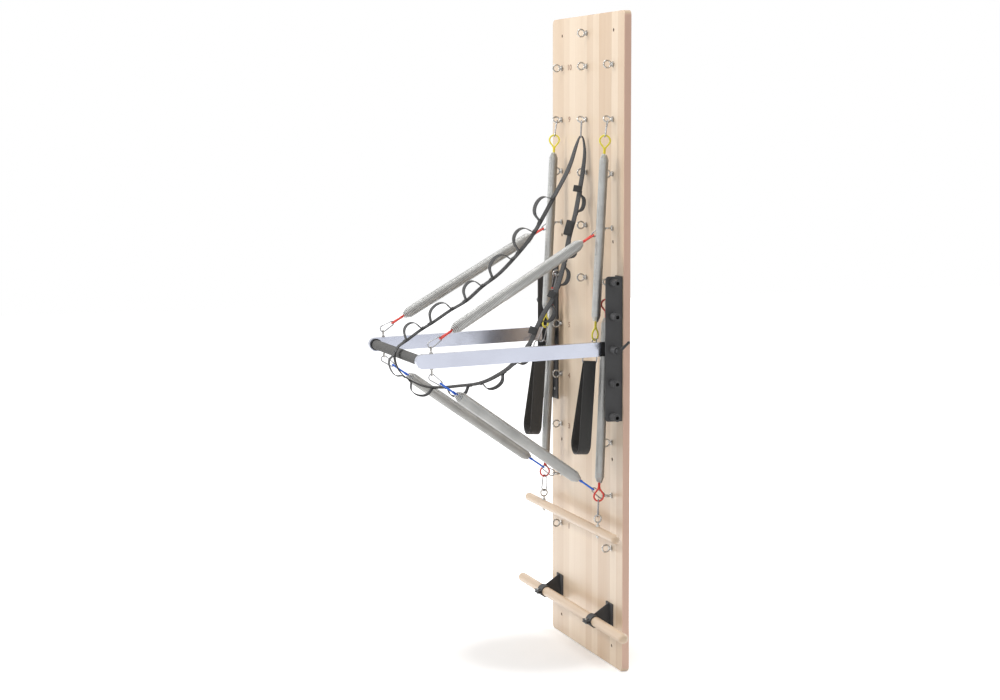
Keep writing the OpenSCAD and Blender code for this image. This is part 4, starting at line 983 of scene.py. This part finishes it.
def cord_end(name, mouth, far, loop_length, loop_width, neck, knot, knot_at, spin, finish):
    """Loop, bound neck and knot of one cord end, laid at a spring's mouth."""
    core = [Vector((0, 0, z)) for z in (-neck, knot_at / 2, knot_at)]
    parts = [cord_along(name, drop_path(loop_length, loop_width, neck, spin), CORD / 2),
             cord_along(name, core, SPRING_NECK / 2 - THREAD, 10),
             cord_along(name, knot_path(knot, knot_at), CORD / 2 * KNOT_CORD, 8, closed=True)]
    for part in parts:
        dressed(part, finish)
    bound, reach = neck + BINDING_OVER, SPRING_NECK / 2 - THREAD / 2
    binding = grown(name + "_binding", winding_tree, {
        "Length": bound, "Body Radius": reach, "Mouth Radius": reach - BINDING_WAIST,
        "Wire": THREAD, "End Turns": 1.0, "End Pitch": THREAD,
        "Body Turns": float(int(bound / THREAD) - 3), "Steps": 12,
        "Wire Finish": materials[finish]})
    binding.transform(Matrix.Translation((0, 0, -neck - BINDING_LOW)))
    parts.append(binding)
    for part in parts:
        part.transform(along(mouth, far))
    return parts


# %% Make the cords of all springs
PUSH_LOOP, PUSH_KNOT, PUSH_KNOT_IN = 0.021, 0.019, 0.009
HANG_LOOP, HANG_KNOT, HANG_KNOT_IN = 0.040, 0.015, 0.008


def taper(wire):
    """How far a spring's narrowing end reaches in."""
    return END_TURNS * (wire + END_GAP) + wire + CLEAR


def cords_of(name, ends, finish, body, node):
    """One piece for the cord ends that ride on one body."""
    piece = joined(name, [part for mouths, where, sizes, spin in ends for part in cord_end(
        name, mouths[where], mouths[1 - where], *sizes, spin, finish)])
    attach(piece, body)
    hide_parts(node)
    return len(piece.data.polygons)


cord_faces = 0
for name, level, row, finish in (("red_push", 1, 7, "red_cord"),
                                 ("blue_push", -1, 2, "blue_cord")):
    for where, body, at in ((0, "upper", "board"), (1, "lower", "arm")):
        ends = [(mouths, where, (mouths[2] - PUSH_NECK, PUSH_LOOP, PUSH_NECK, PUSH_KNOT,
                                 taper(PUSH_WIRE) + PUSH_KNOT_IN), 90)
                for mouths in (push_mouths(side, level, row) for side in (LEFT, RIGHT))]
        cord_faces += cords_of(f"{name}_cords_{at}", ends, finish, f"{name}_{body}",
                               f"{name}_loops_{at}")
hang_cord = (RING_LOOP, HANG_LOOP, HANG_NECK, HANG_KNOT, taper(HANG_WIRE) + HANG_KNOT_IN)
for side, word in ((LEFT, "left"), (RIGHT, "right")):
    for where, spin, body, at in ((0, 25, "handle_spring", "top"), (1, 35, "handle", "low")):
        cord_faces += cords_of(
            f"handle_cord_{at}_{word}", [(handle_mouths(side), where, hang_cord, spin)],
            "yellow_cord", f"{body}_{word}", f"handle_{at}_loop_{word}")
for where, spin, body, at in ((0, 25, "roll_springs", "top"), (1, 0, "roll_down_bar", "low")):
    ends = [(roll_mouths(side), where, hang_cord, side * spin) for side in (LEFT, RIGHT)]
    cord_faces += cords_of(f"roll_{at}_cords", ends, "red_cord", body, f"roll_{at}_loops")
print("cord ends:", cord_faces, "faces")

# %% [markdown]
# ## The two handles
# Each handle is one long band of stiff webbing, closed over the straight bar of a D-ring
# and opened wide at the bottom, where a foot or a hand goes in. Its two edges are sewn all
# round, and the ends of the band overlap in the lower half with a sewn box. Its middle
# line is a wide arc, a straight leg, a tight arc and another leg, closed.

# %% Middle line of a handle
HOOK_TILT = math.radians(19)
RING_WIRE, RING_HEIGHT = 0.004, 0.032
HANDLE_WIDTH, HANDLE_THICK, HANDLE_LENGTH = 0.042, 0.003, 0.318
BOTTOM_RADIUS, TOP_RADIUS, SEAM = 0.039, 0.008, 0.0001
FOOT_IN, FOOT_REACH, FOOT_SHORT = 0.019, 0.107, 0.010


def handle_frame(side):
    """The matrix of a handle, from the top of its D-ring towards its lower end."""
    mouths = handle_mouths(side)
    cord = towards(mouths[2], mouths[0], CORD / 2)
    way = Vector((0, -math.sin(HOOK_TILT), -math.cos(HOOK_TILT)))
    first = cord - way * (CORD / 2 + CLEAR + HOOK_WIRE)
    last = first + way * HANG_HOOK
    seat = towards(last, first, HOOK_WIRE + CLEAR + RING_WIRE / 2)
    foot = hung_end(seat, side * COLUMN_X - FOOT_IN, FOOT_REACH,
                    RING_HEIGHT + HANDLE_LENGTH - FOOT_SHORT)
    return along(towards(seat, foot, -RING_WIRE / 2), foot)


low_radius, high_radius = BOTTOM_RADIUS - HANDLE_THICK / 2, TOP_RADIUS - HANDLE_THICK / 2
low_centre, high_centre = BOTTOM_RADIUS, HANDLE_LENGTH - TOP_RADIUS
lean = math.asin((low_radius - high_radius) / (high_centre - low_centre))
low_arc = arc(low_radius, low_centre, math.pi - lean, math.pi + 2 * lean, 24)
high_arc = arc(high_radius, high_centre, lean, math.pi - 2 * lean, 12)
legs = [[a.lerp(b, i / 16) for i in range(1, 16)]
        for a, b in ((low_arc[-1], high_arc[0]), (high_arc[-1], low_arc[0]))]
handle_line = low_arc + legs[0] + high_arc + legs[1]
print("handle loop:", len(handle_line), "points round")

# %% Sew and hang the handles
LAP_THICK, LAP_INSET, LAP_LIFT, LAP_FROM, LAP_TO = 0.0016, 0.003, 0.0009, 27, 38
EDGE_ROW, LAP_ROW, LAP_ROW_LIFT = 0.0165, 0.016, 0.0034
HANDLE_SEAM = {"Pitch": 0.0042, "Stitch Length": 0.003, **STITCH_SIZES}
strap_seat = RING_HEIGHT - RING_WIRE - SEAM - CLEAR - HANDLE_THICK


def offset_line(path, off, lift):
    """The closed path moved sideways and off the band's outer face."""
    return [point + UPRIGHT * off + way.cross(UPRIGHT) * lift
            for point, way in zip(path, ways_along(path, closed=True))]


for side, word in ((LEFT, "left"), (RIGHT, "right")):
    band = band_along("band", handle_line, UPRIGHT, HANDLE_WIDTH, HANDLE_THICK, closed=True)
    lap_path = offset_line(handle_line, 0, HANDLE_THICK / 2 + LAP_LIFT)[LAP_FROM:LAP_TO]
    lap = tube("lap", band_rings(lap_path, UPRIGHT, HANDLE_WIDTH - LAP_INSET, LAP_THICK),
               way_round(band_outline(HANDLE_WIDTH, LAP_THICK)))
    rows = [row[:LAP_FROM] + row[LAP_TO:] for row in (
        offset_line(handle_line, off, HANDLE_THICK / 2 + SEAM) for off in (-EDGE_ROW, EDGE_ROW))]
    rows += [offset_line(handle_line, off, LAP_ROW_LIFT)[LAP_FROM + 1:LAP_TO - 1]
             for off in (-LAP_ROW, LAP_ROW)]
    rows += [[rows[2][i], rows[3][i]] for i in (0, -1)]
    stitches = grown("handle_stitches", stitch_tree, HANDLE_SEAM, seam_mesh("handle_seam", rows))
    piece = joined(f"handle_webbing_{word}", [
        dressed(band, "black_webbing"), dressed(lap, "black_webbing"), stitches])
    hang = (handle_frame(side) @ Matrix.Translation((0, 0, strap_seat + HANDLE_LENGTH))
            @ Matrix.Scale(-1, 4, (0, 0, 1)))
    piece.data.transform(hang)
    piece.data.flip_normals()
    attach(piece, f"handle_{word}")
    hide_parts(f"handle_strap_{word}")
print("handles sewn")

# %% [markdown]
# ## The foam grip
# A sleeve of closed-cell foam covers the cross tube. Foam is cut a little long and pushed
# on, so its ends bulge slightly and its surface is not a perfect cylinder. Rings of points
# with small swellings make that better than a plain cylinder would.

# %% Foam sleeve on the cross tube
GRIP_HALF, GRIP_RADIUS, TUBE_RADIUS, FOAM_SIDES = 0.2745, 0.0165, 0.0111, 48
STATION, END_ROUND, END_DROP = 0.0125, 0.004, 0.0022
SWELLING, TWIST, WAVES, PHASE = 0.00018, 21, 34, 1.3


def grip_point(x, radius, angle):
    """A point round the middle line of the cross tube."""
    return on_bar(x, ARM_REACH + radius * math.cos(angle), radius * math.sin(angle))


stations = [0.0, 0.0012, 0.003] + [0.006 + STATION * i for i in range(44)]
stations = [s for s in stations if s < GRIP_HALF]
foam_rings = []
for x in [s - GRIP_HALF for s in stations] + [GRIP_HALF - s for s in reversed(stations)]:
    edge = min((GRIP_HALF - abs(x)) / END_ROUND, 1.0)
    swell = GRIP_RADIUS - END_DROP * (1 - math.sqrt(max(0.0, 1 - (1 - edge) ** 2)))
    foam_rings.append([grip_point(
        x, swell + SWELLING * math.sin(3 * t + x * TWIST) * math.sin(x * WAVES + PHASE), t)
        for t in circle(FOAM_SIDES)])
bore = [[grip_point(x, TUBE_RADIUS, t) for t in circle(FOAM_SIDES)]
        for x in (GRIP_HALF, -GRIP_HALF)]
foam = dressed(tube("grip_foam", foam_rings + bore, girth(GRIP_RADIUS, FOAM_SIDES), closed=True),
               "foam")
foam_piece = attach(add_object("grip_foam", foam), "push_bar")
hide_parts("foam_grip")
print("foam sleeve:", len(foam.polygons), "faces")

# %% [markdown]
# ## Row numbers
# Plain numbers from 1 to 10 stand beside the middle column, so that a user finds the row
# that an exercise asks for. A text object is made a mesh, given a hair of thickness and
# laid on the board's face.

# %% Print the numbers on the board
NUMBER_SIDE, NUMBER_SIZE, NUMBER_SPREAD = -0.168, 0.026, 1.7
NUMBER_BOLD, NUMBER_THICK, NUMBER_LIFT = 0.0006, 0.00015, 0.0002
number_meshes = []
for row in range(1, 11):
    words = bpy.data.curves.new(f"row_{row}", "FONT")
    words.body, words.size, words.extrude = str(row), NUMBER_SIZE, NUMBER_THICK
    words.align_x, words.align_y, words.resolution_u = "CENTER", "CENTER", 3
    words.offset = NUMBER_BOLD
    mesh = baked(add_object(f"row_{row}", words))
    mesh.transform(Matrix.Translation(place(NUMBER_SIDE, NUMBER_LIFT, row_z(row)))
                   @ Matrix.Rotation(math.radians(90), 4, "X")
                   @ Matrix.Scale(NUMBER_SPREAD, 4, (1, 0, 0)))
    mesh.materials.clear()
    number_meshes.append(dressed(mesh, "number_ink"))
numbers = joined("row_numbers", number_meshes)
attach(numbers, "wall_board")
print("row numbers:", len(numbers.data.polygons), "faces")

# %% [markdown]
# ## The CAD pieces get their finishes
# Every node names its material slot in the record. The slot's own procedural material
# replaces the flat one that came with the model.

# %% Give every CAD node its finish
for part in frame["record"]["subparts"]:
    node = frame["nodes"][part["node"]]
    if not node.material_slots:
        node.data.materials.append(None)
    for material_slot in node.material_slots:
        material_slot.material = materials[part["material_slot"]]

# %% [markdown]
# ## Floor, light and background
# A pale floor glows as brightly as the white world, so its edge can't be seen, but its glow
# is dimmed round a point in front of the board's foot: a painted shadow, added to the faint
# real one. The world is plain white to the camera, to metal and to glass, and a softer sky
# to everything else, so that the white behind the object doesn't flood it with light. Three
# soft lamps give the springs their shadows: one from the front left, one from above and one
# from behind.

# %% Pale floor
FLOOR_HALF, FLOOR_Z, FROM_SHADOW = 14.0, -0.001, (0.0, 0.22, 0.0)
floor_mesh = bpy.data.meshes.new("floor")
floor_mesh.from_pydata([(x * FLOOR_HALF, y * FLOOR_HALF, FLOOR_Z) for x, y in
                        ((-1, -1), (1, -1), (1, 1), (-1, 1))], [], [(0, 1, 2, 3)])
add_object("floor", floor_mesh)
floor_finish = bpy.data.materials.new("floor")
floor_finish.use_nodes = True
floor_tree = floor_finish.node_tree


def seen_directly(tree):
    """1 for rays from the camera, from gloss and through glass, and 0 for the others."""
    path = add_node(tree, "ShaderNodeLightPath")
    clear = path["Is Glossy Ray"].math("MAXIMUM", path["Is Transmission Ray"])
    return path["Is Camera Ray"].math("MAXIMUM", clear)


# The floor's glow is dimmed round a point in front of the board's foot: a painted shadow.
floor_place = add_node(floor_tree, "ShaderNodeTexCoord")["Object"]
from_shadow = floor_place.vector("ADD", FROM_SHADOW).vector("LENGTH")["Value"]
away = map_range(from_shadow, From_Min=0.2, From_Max=0.62, To_Min=0.12, To_Max=0.9)
feed_all(floor_tree.nodes["Principled BSDF"].inputs, {
    "Base Color": (0.9, 0.9, 0.9, 1), "Roughness": 0.9, "Specular IOR Level": 0.0,
    "Emission Color": (1, 1, 1, 1), "Emission Strength": seen_directly(floor_tree) * away})
floor_mesh.materials.append(floor_finish)
print("floor laid", 2 * FLOOR_HALF, "m wide")

# %% World and lamps
SOFT_SKY = 0.46
world = scene.world = bpy.data.worlds.new("studio")
world.use_nodes = True
feed_all(world.node_tree.nodes["Background"].inputs, {
    "Color": (1, 1, 1, 1),
    "Strength": seen_directly(world.node_tree) * (1 - SOFT_SKY) + SOFT_SKY})
for name, where, aim, size, power in (
        ("key_lamp", (-2.2, -3.8, 3.4), (0, -0.1, 1.2), 1.4, 95),
        ("top_lamp", (0.6, -1.3, 4.6), (0, -0.3, 1.2), 2.0, 60),
        ("back_lamp", (-0.6, 3.4, 3.6), (0, -0.2, 0.6), 2.0, 70)):
    lamp = bpy.data.lights.new(name, "AREA")
    lamp.shape, lamp.size, lamp.energy = "DISK", size, power
    holder = add_object(name, lamp)
    holder.location = where
    holder.rotation_euler = (Vector(aim) - Vector(where)).to_track_quat("-Z", "Y").to_euler()
print("lamps:", [light.name for light in bpy.data.lights])
